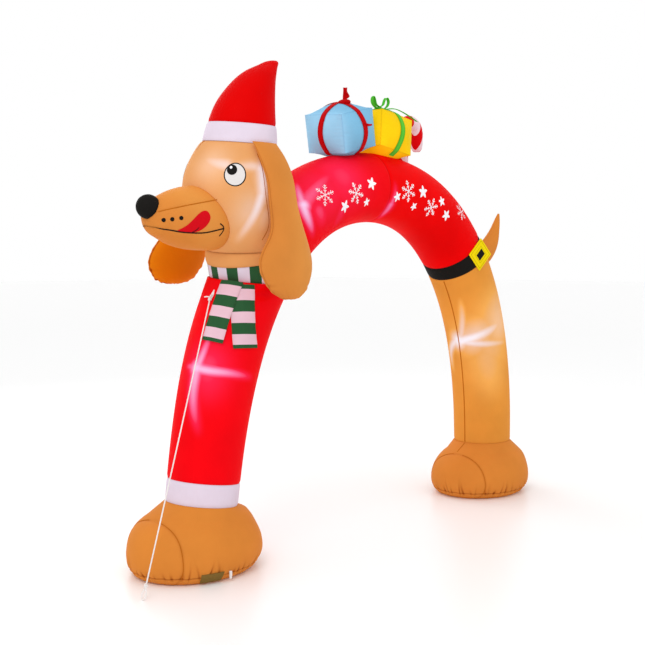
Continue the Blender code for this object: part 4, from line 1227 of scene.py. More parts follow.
# %% Foot table
FOOT_LONG, FOOT_WIDE = 0.338, 0.284
FOOT_X = 1.1415
FOOT_ROWS = [
    # height, share of the full size, x shift of the front foot, of the rear foot
    (0.000, 0.800, -0.010, -0.012),
    (0.010, 0.875, -0.008, -0.010),
    (0.040, 0.958, -0.003, -0.005),
    (0.070, 0.996, 0.000, -0.002),
    (0.105, 1.003, 0.000, 0.000),
    (0.150, 0.980, -0.002, 0.004),
    (0.195, 0.925, -0.005, 0.011),
    (0.232, 0.848, 0.001, 0.022),
    (0.262, 0.745, 0.013, 0.029),
]
BASE_SEAM = 0.036
TOE_SEAM = 0.232
PLEATS = 48
foot_rows = np.array(FOOT_ROWS)
foot_rows = np.insert(foot_rows, 1, foot_rows[:, 1] * 0.3, axis=1)
foot_rows = through(foot_rows, np.linspace(0, 1, 400))[:, [0, 2, 3, 4]]
FOOT_SIDES = 480
print(len(foot_rows), "rows in a foot's table")

# %% [markdown]
# Pleats make the feet look sewn. Each has its own place, depth, reach and lean from a seeded
# random table, so they look uneven but come out the same in each run.

# %% The form of a foot
PLEAT_DEEP, SEAM_DEEP, SWELL_HIGH = 0.0095, 0.0030, 0.0026


def foot_shape(centre_x, column, end, seed):
    """Ovals between the rows, then a straight run to the leg's ring, with pleats at the base.

    A pleat is a narrow trough that starts at the base seam and fades within a few centimetres.
    """
    turn = turns(FOOT_SIDES)
    a = np.radians(turn)
    height = np.concatenate([np.linspace(0, 0.096, 58), np.linspace(0.100, 0.262, 36)])[:, None]
    share, shift = (np.interp(height, foot_rows[:, 0], foot_rows[:, i]) for i in (1, column))
    x = centre_x + shift + FOOT_LONG * share * np.cos(a)
    body = spread(x, FOOT_WIDE * share * np.sin(a), height + 0 * a) + SHIFT
    step = np.linspace(0, 1, 10)[1:, None, None]
    grid = np.concatenate([body, body[-1][None] * (1 - step) + end[None] * step])
    rng = np.random.default_rng(seed)
    place = (np.arange(PLEATS) + rng.uniform(-0.42, 0.42, PLEATS)) * 360.0 / PLEATS
    depth = rng.uniform(0.35, 1.0, PLEATS)
    reach = rng.uniform(0.012, 0.060, PLEATS)
    lean = rng.uniform(-60, 60, PLEATS)
    wide = rng.uniform(0.7, 1.5, PLEATS)
    off = (grid[:, 0, 2] - BASE_SEAM)[:, None]
    tall = off[..., None]
    gap = (turn[None, :, None] - place - lean * tall + 180) % 360 - 180
    near = bell(tall, np.where(tall > 0, reach, 0.013))
    fold = (depth * bell(gap, wide) * near).sum(axis=2)
    swell = np.cos(np.radians(turn * PLEATS / 2.0 + 40 * seed))[None] * bell(off, 0.03)
    seam = bell(off, 0.0035)
    relief = -PLEAT_DEEP * fold - SEAM_DEEP * seam + SWELL_HIGH * swell
    top = (grid[-1, :, 2].mean() - grid[:, :1, 2]).clip(0)
    relief = relief + 0.0020 * gathers(turn, seed + 3, (11, 19, 31))[None] * np.exp(-top / 0.022)
    relief[:2] = 0.0
    relief[-3:] = 0.0
    # Painted shade in the troughs of the pleats and along the base seam.
    shade = 0.85 * np.clip(fold, 0, 1) ** 1.2 + 0.50 * seam
    return grid + outwards(grid) * relief[..., None] * (1.0, 1.0, 0.3), np.clip(shade, 0, 1)


print(PLEATS, "pleats round each foot")

# %% [markdown]
# ## Two feet
#
# The same skin is made twice and each copy is cut by the plane of the toe seam, so foot and toe
# cap meet exactly. The last ring of a foot is the first ring of its leg.

# %% Two feet
FEET = [
    # foot, its middle, column of its shifts, where its leg ends, seed
    ("front", -FOOT_X, 2, 0.010, 51),
    ("rear", FOOT_X, 3, LEG_END, 52),
]


def leg_ring(along):
    """The leg's last ring, starting at +X and turning towards +Y as the foot's rows do."""
    ring = tube_point(along, 0.0), tube_point(along, 180.0), tube_point(along, 90.0)
    middle = (ring[0] + ring[1]) / 2
    ahead = ring[1] - middle if ring[1][0] > ring[0][0] else ring[0] - middle
    side = middle - ring[2]
    a = np.radians(turns(FOOT_SIDES))
    return middle + np.cos(a)[:, None] * ahead + np.sin(a)[:, None] * side


def cut_at(made, x, sign):
    """Keeps the part of a closed mesh on one side of an upright plane and closes the cut."""
    build = bmesh.new()
    build.from_mesh(made.data)
    cut = bmesh.ops.bisect_plane(
        build,
        geom=build.verts[:] + build.edges[:] + build.faces[:],
        plane_co=(x, 0, 0),
        plane_no=(sign, 0, 0),
        clear_inner=True,
    )
    edges = [item for item in cut["geom_cut"] if isinstance(item, bmesh.types.BMEdge)]
    bmesh.ops.contextual_create(build, geom=edges)
    bmesh.ops.recalc_face_normals(build, faces=build.faces)
    build.to_mesh(made.data)
    build.free()
    made.data.shade_smooth()
    made.data.set_sharp_from_angle(angle=radians(50))
    return faced_out(made)


for foot, middle_x, column, along, seed in FEET:
    end = leg_ring(along) - (0, 0, SEAM_GAP)
    grid, shade = foot_shape(middle_x, column, end, seed)
    seam_x = middle_x - TOE_SEAM + SHIFT[0]
    away = np.abs(grid[..., 0] - seam_x)
    drawn = raised(grid, -0.0025 * bell(away, 0.008) * (grid[..., 2] > 0.004))
    # Painted shade in the groove of the toe seam, added to the foot's own painted shade.
    painted_shading = np.clip(shade + 0.22 * bell(away, 0.006), 0, 1)
    uv = ring_uv(FOOT_SIDES, 1.9, np.linspace(0, 0.4, len(grid))[:, None])
    for end, node, sign in (("foot", "foot", 1.0), ("toe", "toe_cap", -1.0)):
        whole = skin(f"{foot}_{end}_cloth", drawn, uv, shade=painted_shading)
        made = cut_at(whole, seam_x + SEAM_GAP / 2 * sign, sign)
        finish_piece(made, foot_cloth, f"{foot}_{node}")

# %% [markdown]
# ## Tail
#
# The tail is a cone bent along a curve, sewn to the leg. Its rows start where each line along it
# comes out of the tube, found by halving as for the muzzle.

# %% Tail
TAIL = [
    # x     z      radius
    (1.010, 1.438, 0.069),
    (1.092, 1.467, 0.069),
    (1.184, 1.518, 0.059),
    (1.243, 1.581, 0.045),
    (1.282, 1.653, 0.028),
    (1.308, 1.720, 0.014),
    (1.318, 1.748, 0.006),
]
tail_path = through(TAIL, np.linspace(0, 1, 301))


def off_path(path, share, out, side):
    """Off a path in the plane of the arch: out is square to its way there, and side along Y."""
    ahead = np.gradient(path[:, :2], axis=0)
    ahead /= np.linalg.norm(ahead, axis=1, keepdims=True)
    at, steps = np.asarray(share) * (len(path) - 1), np.arange(len(path))
    x, z = (np.interp(at, steps, path[:, i]) for i in range(2))
    ahead_x, ahead_z = (np.interp(at, steps, ahead[:, i]) for i in range(2))
    return spread(x + out * ahead_z, side, z - out * ahead_x) + SHIFT


def tail_at(share, turn_deg):
    """Centre at that share, plus radius times the direction across the curve at that turn."""
    radius = np.interp(np.asarray(share) * (len(tail_path) - 1), np.arange(len(tail_path)), tail_path[:, 2])
    a = np.radians(turn_deg)
    return off_path(tail_path, share, radius * np.cos(a), radius * np.sin(a))


rows = np.linspace(0, 1, 90)
grid, share, turn = out_of(tail_at, lambda points: above_tube(points)[0], 96, rows, gap=0.0009)
gone = gone_along(grid)
seam = bell(np.sin(np.radians(turn)), 0.10)
relief = seam_relief(gone, turn, 61, groove=0.002, reach=0.006, ripple=0.0010) - 0.0010 * seam
shade = 0.16 * seam + 0.2 * bell(gone, 0.004)
tail = skin("tail_cloth", raised(grid, relief), ring_uv(96, 0.36, gone), shade=shade)
finish_piece(tail, foot_cloth, "tail")

# %% [markdown]
# ## Gift boxes
#
# A box starts as a cube whose six faces bulge with the air. Near every edge the cloth is short,
# so it puckers: small waves run along the edge and fade towards the middle of the face. Points
# that would lie in the tube are pushed out to its skin, which seats the box on the curve.

# %% Box shapes
BOX_SIZE = np.array([0.250, 0.256, 0.201])
BOX_BULGE = 0.045
BLUE_BOX = ((-0.149, 0.0, 2.140), (4.6, -13.9, 1.5))  # middle and turns about X, Y and Z
YELLOW_BOX = ((0.161, 0.0, 2.135), (-5.3, 9.1, -1.3))


def box_frame(box):
    """The box's turn as a matrix and its middle."""
    middle, angles = box
    rotation = Matrix.Identity(3)
    for axis, angle in zip("XYZ", angles):
        rotation = Matrix.Rotation(radians(angle), 3, axis) @ rotation
    return np.array(rotation), np.array(middle) + SHIFT


def placed(points, box):
    """Points of the box's own frame in the arch's frame."""
    rotation, middle = box_frame(box)
    return points @ rotation.T + middle


def puffed(points, grow=0.0):
    """Each point moves out by the crown of every face it lies on: a product of two parabolas."""
    share = 2 * points / BOX_SIZE
    swell = 1 - share**2
    crown = BOX_BULGE * np.roll(swell, -1, -1) * np.roll(swell, -2, -1)
    return points + share**5 * (crown + grow)


def pushed_off(points, box, gap):
    """Points in the box's space are pushed out through its +X face."""
    rotation, middle = box_frame(box)
    own = (points - middle) @ rotation
    share = np.clip(2 * own / BOX_SIZE, -1, 1)
    face = BOX_SIZE[0] / 2 + BOX_BULGE * (1 - share[..., 1] ** 2) * (1 - share[..., 2] ** 2) + gap
    inside = (own[..., 0] < face) & (np.abs(own[..., 1]) < 0.15) & (np.abs(own[..., 2]) < 0.13)
    own[..., 0] = np.where(inside & (own[..., 0] > 0.02), face, own[..., 0])
    return own @ rotation.T + middle


print("the boxes' middles are", round(YELLOW_BOX[0][0] - BLUE_BOX[0][0], 3), "m apart")

# %% [markdown]
# ## Box cloth
#
# The six faces are grids that are finer near their edges, where the puckers are. Points that two
# faces share are welded, so the cloth runs round the edges without a gap.

# %% Box cloth
BOX_CELLS = 56
BOX_SHARP_DEG = 40.0


def cube_faces():
    """The six faces of a cube from -1 to 1: its welded points, its quads and a UV per corner."""
    n = BOX_CELLS + 1
    s = np.linspace(-1, 1, n)
    s = 0.4 * s + 0.6 * np.sin(pi * s / 2)
    a, b = np.meshgrid(s, s, indexing="ij")
    faces = np.empty((6, n, n, 3))
    for i in range(6):
        axis, side = i // 2, i % 2 * 2.0 - 1.0
        faces[i, ..., axis] = side
        faces[i, ..., (axis + 1) % 3] = a * side
        faces[i, ..., (axis + 2) % 3] = b
    flat = np.round(faces.reshape(-1, 3), 6)
    cube, weld = np.unique(flat, axis=0, return_inverse=True)
    index = np.arange(len(flat)).reshape(6, n, n)
    quads = np.stack([index[:, :-1, :-1], index[:, 1:, :-1], index[:, 1:, 1:], index[:, :-1, 1:]], -1)
    quads = quads.reshape(-1, 4)
    uv = np.tile(np.stack([a * 0.13, b * 0.12], -1).reshape(-1, 2), (6, 1))
    return cube, weld.reshape(-1)[quads], uv[quads]


def box_cloth(name, box, seed, material, node, painted_light, off=None):
    """Six welded faces of a cube, puffed, puckered at the edges and seated on the tube, with painted light
    and painted shade.
    """
    cube, quads, uv = cube_faces()
    order = np.argsort(np.abs(cube), axis=1)
    ranked = np.take_along_axis(np.abs(cube), order, axis=1)
    along_edge = np.take_along_axis(cube, order[:, :1], axis=1)[:, 0]
    to_edge = (1 - ranked[:, 1]) * 0.125
    kind = order[:, 2] * 5.0 + order[:, 1] * 3.0
    waves = gathers(along_edge * 110.0 + kind * 40.0, seed, (7, 12, 19))
    relief = 0.0030 * waves * np.exp(-to_edge / 0.030) * (1 - np.exp(-to_edge / 0.005))
    relief = relief * (1 - ranked[:, 0] ** 6)
    points = puffed(cube * BOX_SIZE / 2)
    out = np.zeros_like(points)
    np.put_along_axis(out, order[:, 2:], np.sign(np.take_along_axis(cube, order[:, 2:], axis=1)), axis=1)
    points = placed(points + out * relief[:, None], box)
    if off:
        points = pushed_off(points, off, 0.0008)
    points = pressed(points, 0.0015)
    # Painted shade along the box's edges and in the troughs of its puckers.
    shade = 0.20 * bell(to_edge, 0.0035) + 0.06 * np.clip(-waves, 0, 1) * np.exp(-to_edge / 0.03)
    painted = {"glow": [painted_light(cube)], "shade": [shade]}
    made = new_piece(name, [points], [quads], [uv], painted, BOX_SHARP_DEG)
    return finish_piece(faced_out(made), material, node)


def painted_corner_shade(cube):
    """Painted shade: the yellow box turns orange towards its lower corner by the blue box."""
    return np.clip(0.22 - 0.42 * cube[:, 0] - 0.40 * cube[:, 2], 0, 1) * 0.60


def painted_face_light(cube):
    """Painted light: the blue box is a little paler on its outer face."""
    return np.clip(-cube[:, 0], 0, 1) ** 4 * 0.30


box_cloth("blue_box_cloth", BLUE_BOX, 71, blue_cloth, "blue_box", painted_face_light)
box_cloth("yellow_box_cloth", YELLOW_BOX, 73, yellow_cloth, "yellow_box", painted_corner_shade, BLUE_BOX)

# %% [markdown]
# ## Ribbons
#
# Each box wears two straps of ribbon, crossed on top under a knot. A strap follows the puffed
# faces a few millimetres above them. The loose ends and the bow's loops are ribbons along
# curves in the air, folded a little lengthwise as soft tape is.

# %% Loose ribbons
def ribbon_grid(rows, across, count=70, columns=7, fold=0.0012):
    """A ribbon along a spline through rows of place and half width, a little folded lengthwise."""
    path = through(rows, np.linspace(0, 1, count), 3)
    across = np.array(across, float) / np.linalg.norm(across)
    ahead = np.gradient(path[:, :3], axis=0)
    out = np.cross(ahead, across)
    out /= np.linalg.norm(out, axis=1, keepdims=True) + 1e-12
    u = np.linspace(-1, 1, columns)
    side = across * path[:, 3:4]
    grid = path[:, None, :3] + side[:, None] * u[None, :, None]
    return grid + out[:, None] * (fold * np.cos(u * pi))[None, :, None] + SHIFT


def smoothed(grid, times):
    """Each row but the first and last becomes a quarter, a half and a quarter of three rows."""
    for _ in range(times):
        grid[1:-1] = 0.25 * grid[:-2] + 0.5 * grid[1:-1] + 0.25 * grid[2:]
    return grid


print("a loose ribbon is", len(ribbon_grid([(0, 0, 0, 0.01), (0, 0, 1, 0.01)], (0, 1, 0))), "rows long")

# %% [markdown]
# A strap is a route over the faces of the cube, puffed with it and then lifted off the cloth.
# The knot is a ball whose radius ripples, because only its lumpy outline shows.

# %% Straps and knots
RIBBON_WIDE = 0.033
RIBBON_LIFT = 0.0031


def strap(name, box, across, low, high, shift, off=None):
    """A strip over a box from one face over the top to the other, a little under it at -1."""
    rise = [(-1.0, v) for v in np.linspace(low, 0.96, 40)]
    over = [(u, 1.0) for u in np.linspace(-0.96, 0.96, 40)]
    fall = [(1.0, v) for v in np.linspace(0.96, high, 40)]
    under = (0.74, 0.80, 0.86, 0.92)
    if low == -1.0:
        rise = [(-u, -1.0) for u in under] + rise
    if high == -1.0:
        fall += [(u, -1.0) for u in under[::-1]]
    route = np.array(rise + over + fall)
    side = np.linspace(-0.5, 0.5, 9)
    points = np.empty((len(route), 9, 3))
    points[..., :] = (shift + side * RIBBON_WIDE)[None, :, None]
    points[..., 2] = route[:, 1:] * BOX_SIZE[2] / 2
    points[..., across] = route[:, :1] * BOX_SIZE[across] / 2
    lifted = puffed(points)
    lift = RIBBON_LIFT + 0.0005 * across
    lifted[..., across] += lift * np.clip(route[:, :1] * 12, -1, 1) * (np.abs(route[:, :1]) > 0.97)
    lifted[..., 2] += lift * route[:, 1:] * (np.abs(route[:, 1:]) > 0.94)
    grid = placed(lifted, box)
    if off:
        grid = pushed_off(grid, off, 0.003)
    grid = smoothed(pressed(grid, 0.0028), 2)
    edge = np.abs(side)[None] * 2 + 0 * route[:, :1]
    # Painted light down the middle of the strap, and painted shade at its two edges.
    return thick_sheet(name, grid, 0.0018, 0.25 * (1 - edge), 0.22 * edge**6)


def knot(name, box, place, radii, seed):
    """A lumpy ball of tape: an ellipsoid whose radius ripples."""
    points, turn, down = ball(64, 40, 0.05)
    lumps = 1 + 0.07 * np.sin(down) * gathers(np.degrees(turn + 0.8 * down), seed, (3, 5, 9))
    grid = placed(points * lumps[..., None] * radii + place, box)
    shade = 0.3 * np.clip(1 - lumps, 0, 0.07) / 0.07
    return skin(name, grid, ring_uv(64, 0.128, down * 0.03), shade=shade)


print("ribbon", RIBBON_WIDE, "m wide")

# %% [markdown]
# ## The ribbons' tables
#
# The dark red ribbon ends in a short upright end and a shorter low one. The green one is tied
# in a bow with two loops and a long tail that leans over the crown towards the candy cane.

# %% Ribbons on both boxes
UPRIGHT_END = [
    # x, y, z and half width
    (-0.146, -0.030, 2.280, 0.013),
    (-0.149, -0.030, 2.299, 0.010),
    (-0.137, -0.030, 2.316, 0.018),
    (-0.143, -0.030, 2.337, 0.012),
    (-0.144, -0.030, 2.362, 0.011),
]
SHORT_END = [(-0.152, -0.173, 2.160, 0.005), (-0.126, -0.181, 2.154, 0.006), (-0.106, -0.185, 2.157, 0.004)]
LEFT_LOOP = [
    (0.175, 0.000, 2.286, 0.009),
    (0.130, 0.000, 2.292, 0.009),
    (0.106, 0.000, 2.312, 0.010),
    (0.103, 0.000, 2.338, 0.010),
    (0.112, 0.000, 2.350, 0.010),
    (0.123, 0.000, 2.338, 0.010),
    (0.134, 0.000, 2.312, 0.009),
    (0.172, 0.000, 2.298, 0.009),
]
RIGHT_LOOP = [
    (0.165, 0.000, 2.286, 0.009),
    (0.200, 0.000, 2.292, 0.009),
    (0.230, 0.000, 2.312, 0.010),
    (0.237, 0.000, 2.338, 0.010),
    (0.224, 0.000, 2.352, 0.010),
    (0.206, 0.000, 2.338, 0.010),
    (0.194, 0.000, 2.312, 0.009),
    (0.168, 0.000, 2.298, 0.009),
]
LONG_END = [
    (0.180, -0.012, 2.283, 0.008),
    (0.235, -0.028, 2.293, 0.008),
    (0.308, -0.030, 2.288, 0.010),
    (0.391, -0.030, 2.266, 0.011),
    (0.458, -0.030, 2.243, 0.009),
]
BLUE_ENDS = {"blue_end_up": (UPRIGHT_END, (1, -1, 0)), "blue_end_short": (SHORT_END, (0, 0, 1))}
BOW = {
    # rows, and the way that the ribbon is wide
    "bow_left": (LEFT_LOOP, (0, 1, 0)),
    "bow_right": (RIGHT_LOOP, (0, 1, 0)),
    "bow_end": (LONG_END, (0, 1, 0.3)),
}
RIBBONS = [
    # the box and its ribbon, the box that stands beside it, how far its long strap reaches down
    # each side and off the middle, its knot's place, radii and seed, and its loose ends
    ("blue", BLUE_BOX, maroon_ribbon, None, (-1.0, 0.55, -0.010),
     ((0.015, -0.033, 0.145), (0.034, 0.034, 0.016), 81), BLUE_ENDS),
    ("yellow", YELLOW_BOX, green_ribbon, BLUE_BOX, (0.55, -1.0, 0.0),
     ((0.0, 0.0, 0.151), (0.040, 0.026, 0.014), 83), BOW),
]
for colour, box, look, beside, long_strap, lump, loose in RIBBONS:
    pieces = [
        strap(f"{colour}_strap_long", box, 0, *long_strap, beside),
        strap(f"{colour}_strap_cross", box, 1, -1.0, -1.0, 0.0, beside),
        knot(f"{colour}_knot", box, *lump),
    ]
    pieces += [thick_sheet(name, ribbon_grid(*rows), 0.0024) for name, rows in loose.items()]
    for piece in pieces:
        finish_piece(piece, look, f"{colour}_box_ribbon")

# %% [markdown]
# ## Candy cane
#
# A filled tube goes up, round a half circle and down. Its stripes lie steeply slanted: two of
# them start side by side, so the length in its UV map grows by two stripes for every turn.

# %% Candy cane
CANE_RADIUS, CANE_HOOK = 0.036, 0.066
CANE_X, CANE_Y = 0.412, 0.045
CANE_FOOT, CANE_SHOULDER, CANE_DROP = 1.900, 2.184, 0.100
CANE_STRIPE, CANE_STARTS = 0.150, 2
CANE_STEP = 0.0048  # between two points of its path
rise = np.stack([np.full(60, CANE_X), np.linspace(CANE_FOOT, CANE_SHOULDER, 60)], -1)
bend = np.linspace(0, pi, 60)[1:, None]
hook = np.concatenate([CANE_X + CANE_HOOK * (1 - np.cos(bend)), CANE_SHOULDER + CANE_HOOK * np.sin(bend)], 1)
fall = np.stack([np.full(20, CANE_X + 2 * CANE_HOOK), CANE_SHOULDER - np.linspace(0, CANE_DROP, 21)[1:]], -1)
cane_path = np.concatenate([rise, hook, fall])


def cane_at(share, turn_deg):
    """Centre at that share, plus the radius across it at that turn, rounded in at the free end."""
    end = np.clip((1 - np.asarray(share)) * 4.4, 0, 1)
    radius = CANE_RADIUS * np.sqrt(1 - 0.75 * (1 - np.clip(end * 3, 0, 1)) ** 2)
    a = np.radians(turn_deg)
    return off_path(cane_path, share, radius * np.cos(a), CANE_Y + radius * np.sin(a))


rows = np.linspace(0, 1, 170)
grid, share, turn = out_of(cane_at, lambda points: above_tube(points)[0], 80, rows, end=0.6, gap=0.0015)
gone = gone_along(grid) + share[:1] * (len(cane_path) - 1) * CANE_STEP
grid = raised(grid, 0.0010 * gathers(turn + gone * 900, 91, (5, 9, 14)))
cane_cloth = cloth(
    "cane cloth",
    [(0.0, 0.7, 0.6, 0.62), (1.0, 0.8, 0.7, 0.7)],
    stripes=bands([(0.0, 0.60, 0.001, 0.003), (0.55, 0.72, 0.55, 0.60)], CANE_STRIPE, 1, 0.0717),
)
uv = ring_uv(80, 2 * pi * CANE_RADIUS, gone, CANE_STRIPE * CANE_STARTS)
finish_piece(skin("cane_skin", grid, uv), cane_cloth, "candy_cane")

# %% [markdown]
# ## Buckle
#
# The buckle is a padded square of yellow cloth with a black patch in its middle, set on its
# point over the belt. It is a stack of squares: from the middle of its face out to the rim,
# down the edge and back in underneath, where the tube presses it.

# %% Buckle
BUCKLE_ALONG, BUCKLE_ROUND = 3.046, 86.0
BUCKLE_TURN, BUCKLE_TILT = 8.8, 10.8
BUCKLE_HALF, BUCKLE_THICK = 0.069, 0.008


def tube_seat(along, turn_deg, lift, spin_deg, tilt_deg):
    """A frame on the tube: x along it, y round it, z out, then spun and tilted."""
    origin = Vector(tube_point(along, turn_deg, lift))
    out = (origin - Vector(tube_point(along, turn_deg, lift - 0.1))).normalized()
    ahead = Vector(tube_point(along + 0.01, turn_deg, lift) - tube_point(along - 0.01, turn_deg, lift))
    ahead = (ahead - ahead.dot(out) * out).normalized()
    axes = Matrix((ahead, out.cross(ahead), out)).transposed()
    spun = Matrix.Rotation(radians(tilt_deg), 3, "X") @ Matrix.Rotation(radians(spin_deg), 3, "Z")
    return np.array(axes @ spun), np.array(origin)


def plate(half_x, half_y, rows, sides=160):
    """Rings of a rectangle, from rows of share of its size and height, and their flat UVs."""
    a = (np.arange(sides) + 0.5) * 2 * pi / sides
    reach = 1 / np.maximum(np.abs(np.cos(a)), np.abs(np.sin(a)))
    ring = np.stack([half_x * reach * np.cos(a), half_y * reach * np.sin(a)], -1)
    share, height = np.array(rows).T
    flat = ring[None] * share[:, None, None]
    rings = np.concatenate([flat, np.broadcast_to(height[:, None, None], (len(rows), sides, 1))], -1)
    return rings, np.concatenate([flat, flat[:, :1]], axis=1)


axes, origin = tube_seat(BUCKLE_ALONG, BUCKLE_ROUND, 0.002, BUCKLE_TURN, BUCKLE_TILT)
face = [(s, BUCKLE_THICK - 0.0016 * s**4) for s in np.linspace(0.03, 0.985, 76)]
rim = [(1.0, 0.0056), (1.0, 0.0020), (0.985, 0.0005), (0.8, 0.0), (0.5, 0.0), (0.03, 0.0)]
rings, uv = plate(BUCKLE_HALF, BUCKLE_HALF, face + rim)
share = np.array(face + rim)[:, :1]
line = bell(share - 0.84, 0.016) + 0.8 * bell(share - 0.52, 0.018)
line[len(face) :] = 0.0
buckle = skin("buckle_cloth", pressed(rings @ axes.T + origin, 0.0006), uv, shade=0.85 * line)
finish_piece(buckle, buckle_yellow, "buckle")
rows = [(s, 0.0012) for s in np.linspace(0.03, 0.96, 12)] + [(1.0, 0.0006), (1.0, 0.0), (0.03, 0.0)]
rings, uv = plate(0.0225, 0.0285, rows)
grid = rings @ axes.T + origin + axes[:, 2] * (BUCKLE_THICK + 0.0003)
finish_piece(skin("buckle_eye_cloth", grid, uv), black_cloth, "buckle_eye")

# %% [markdown]
# ## Scarf ends
#
# Two flat strips hang from the scarf and lie on the chest. A place on the chest is found by
# going straight out from the tube's middle until both the tube and the neck's column are
# behind; the cloth lies a few millimetres above that, with soft waves and a hem.

# %% The chest under the scarf
COLUMN_SHAPE = np.array(COLUMN + [(1.372, -0.794, 0.006, 0.203), (1.45, -0.80, 0.01, 0.205)])


def above_column(points):
    """How far points are outside the neck's column, from level circles between its rings."""
    flat = points.reshape(-1, 3) - SHIFT
    x, y, radius = (np.interp(flat[:, 2], COLUMN_SHAPE[:, 0], COLUMN_SHAPE[:, i]) for i in (1, 2, 3))
    high = np.hypot(flat[:, 0] - x, flat[:, 1] - y) - radius
    return np.where(flat[:, 2] < COLUMN_SHAPE[0, 0], 1.0, high)


def chest_lift(along, turn_deg):
    """By halving: how far out from the tube's skin the chest is."""
    low, top = np.zeros(along.shape), np.full(along.shape, 0.12)
    for _ in range(HALVINGS):
        middle = (low + top) / 2
        inside = above_column(tube_point(along, turn_deg, middle)).reshape(along.shape) < 0
        low, top = np.where(inside, middle, low), np.where(inside, top, middle)
    return top


print("the chest stands out", round(float(chest_lift(np.array([1.2]), 60.0)[0]), 3), "m beside the neck")

# %% [markdown]
# The first and the last stripe of these ends are shorter: the band hides part of one, and the
# hem takes up part of the other. They read the UV map along the cloth, like the scarf's.

# %% Two scarf ends
LEFT_SCARF = [(1.018, 30.0, 16.0, 0.007), (0.900, 29.6, 15.7, 0.003), (0.742, 29.3, 15.6, 0.000)]
RIGHT_SCARF = [
    # along, turn, half its angle, how much lower its camera side is
    (1.017, 45.3, 15.8, 0.018),
    (0.930, 56.5, 15.9, 0.020),
    (0.841, 67.6, 16.9, 0.019),
    (0.753, 80.1, 19.3, 0.020),
]
SCARF_TAIL_LONG, SCARF_TAIL_PERIOD = 0.277, 0.2775  # the stripes don't start again on an end
STRIPE_STARTS = (0.0, 0.069, 0.245, 0.422, 0.599, 0.776, 0.939)  # green first
STRIPE_SHARE = 0.177  # of an end's length
tones = [(at, *(PINK_TONE if i % 2 else GREEN_TONE)) for i, at in enumerate(STRIPE_STARTS)]
scarf_tail_cloth = cloth(
    "scarf tail cloth",
    [(0.0, *PINK_TONE), (1.0, 1.0, 0.9, 0.95)],
    stripes=bands(tones, SCARF_TAIL_PERIOD, 1),
)


def scarf_end(name, table, lift, seed, node):
    """A strip of cloth between the table's angles, waved across and hemmed at its foot."""
    share = np.linspace(0, 1, 110)
    along, middle, half, skew = through(table, share, 1).T[:, :, None]
    share = share[:, None]
    u = np.linspace(-1, 1, 40)[None]
    at, turn = along + skew * u, middle + half * u
    wave = 0.0011 * np.sin(u * 5.0 + seed) * (0.4 + share)
    hem = 0.0008 * bell(1 - share, 0.03)
    stripe_edge = 0.0006 * np.sin(share * 2 * pi / STRIPE_SHARE)
    grid = tube_point(at, turn, chest_lift(at, turn) + lift + wave + hem + stripe_edge)
    grid = smoothed(grid, 3)
    uv = spread(gone_along(grid, 1), share * SCARF_TAIL_LONG)
    # Painted shade along both side edges of the strip.
    made = thick_sheet(name, grid, 0.0022, shade=0.20 * np.abs(u) ** 8, uv=uv)
    finish_piece(made, scarf_tail_cloth, node)
    wide = float(gone_along(grid, 1)[:, -1].mean())
    long = float(gone_along(grid, 0)[-1].mean())
    print(name, "flat", round(wide, 3), "x", round(long, 3))


scarf_end("scarf_end_right", RIGHT_SCARF, 0.0045, 1.0, "scarf_tail_right")
scarf_end("scarf_end_left", LEFT_SCARF, 0.0075, 2.5, "scarf_tail_left")

# %% [markdown]
# ## Fittings on foot and chest
#
# The blower blows in through a mesh window in the base panel, and webbing loops take a stake and
# the guy rope. They are small, but without them the arch could be neither filled nor held.

# %% Mesh inlet and stake loop
STAKE_DEG = -94.0


def foot_skin(foot):
    """The skin of a foot up to its leg, by height and by the angle in its own oval."""
    _, middle_x, column, along, _ = next(row for row in FEET if row[0] == foot)
    half = foot_rows[:, 1:2] * (FOOT_LONG, FOOT_WIDE)
    ring = leg_ring(along) - SHIFT - (middle_x, 0.0, 0.0)
    last = (ring[:, 2].mean(), np.ptp(ring[:, 0]) / 2, np.ptp(ring[:, 1]) / 2, ring[:, 0].mean())
    sizes = np.vstack([np.hstack([foot_rows[:, :1], half, foot_rows[:, column : column + 1]]), last])

    def place(height, oval_deg, lift):
        half_x, half_y, shift = (np.interp(height, sizes[:, 0], sizes[:, i]) for i in (1, 2, 3))
        a = np.radians(oval_deg)
        x = middle_x + shift + (half_x + lift) * np.cos(a)
        return spread(x, (half_y + lift) * np.sin(a), height + 0 * a) + SHIFT

    return place, sizes


front_skin = foot_skin("front")[0]


def foot_point(height, angle_deg, lift):
    """A place on the front foot in the direction of an angle, turned into its oval's angle."""
    a = np.radians(angle_deg)
    return front_skin(height, np.degrees(np.arctan2(np.sin(a) / FOOT_WIDE, np.cos(a) / FOOT_LONG)), lift)


height = np.linspace(0.008, 0.054, 30)[:, None]
angle = np.linspace(-123.0, -101.0, 50)[None]
crease = 0.0010 * np.sin(angle * 0.9) * np.cos(height * 60)
inlet = thick_sheet("inlet_cloth", foot_point(height, angle, 0.0042 + crease), 0.0020)
finish_piece(inlet, inlet_mesh, "blower_inlet")
anchor = foot_point(np.array(0.050), STAKE_DEG, 0.0) - SHIFT
out = np.array([cos(radians(STAKE_DEG)), sin(radians(STAKE_DEG)), 0.0])
loop = ((0.0018, 0.0), (0.0028, 0.028), (0.0046, 0.035), (0.0068, 0.028), (0.0074, 0.0))
rows = [(*(anchor + out * away - (0, 0, drop)), 0.0055) for away, drop in loop]
stake = thick_sheet("stake_webbing", ribbon_grid(rows, (-out[1], out[0], 0.0), fold=0.0002), 0.0012)
finish_piece(stake, webbing, "stake_loop")

# %% [markdown]
# ## The rope's tab
#
# The rope is knotted into a small tab of webbing that stands on the chest, where the plain
# model has it. It is eight-sided with a round hole: rings run from the hole to the outline, and
# for each direction the outline is as far as the nearest of its eight edges' lines.

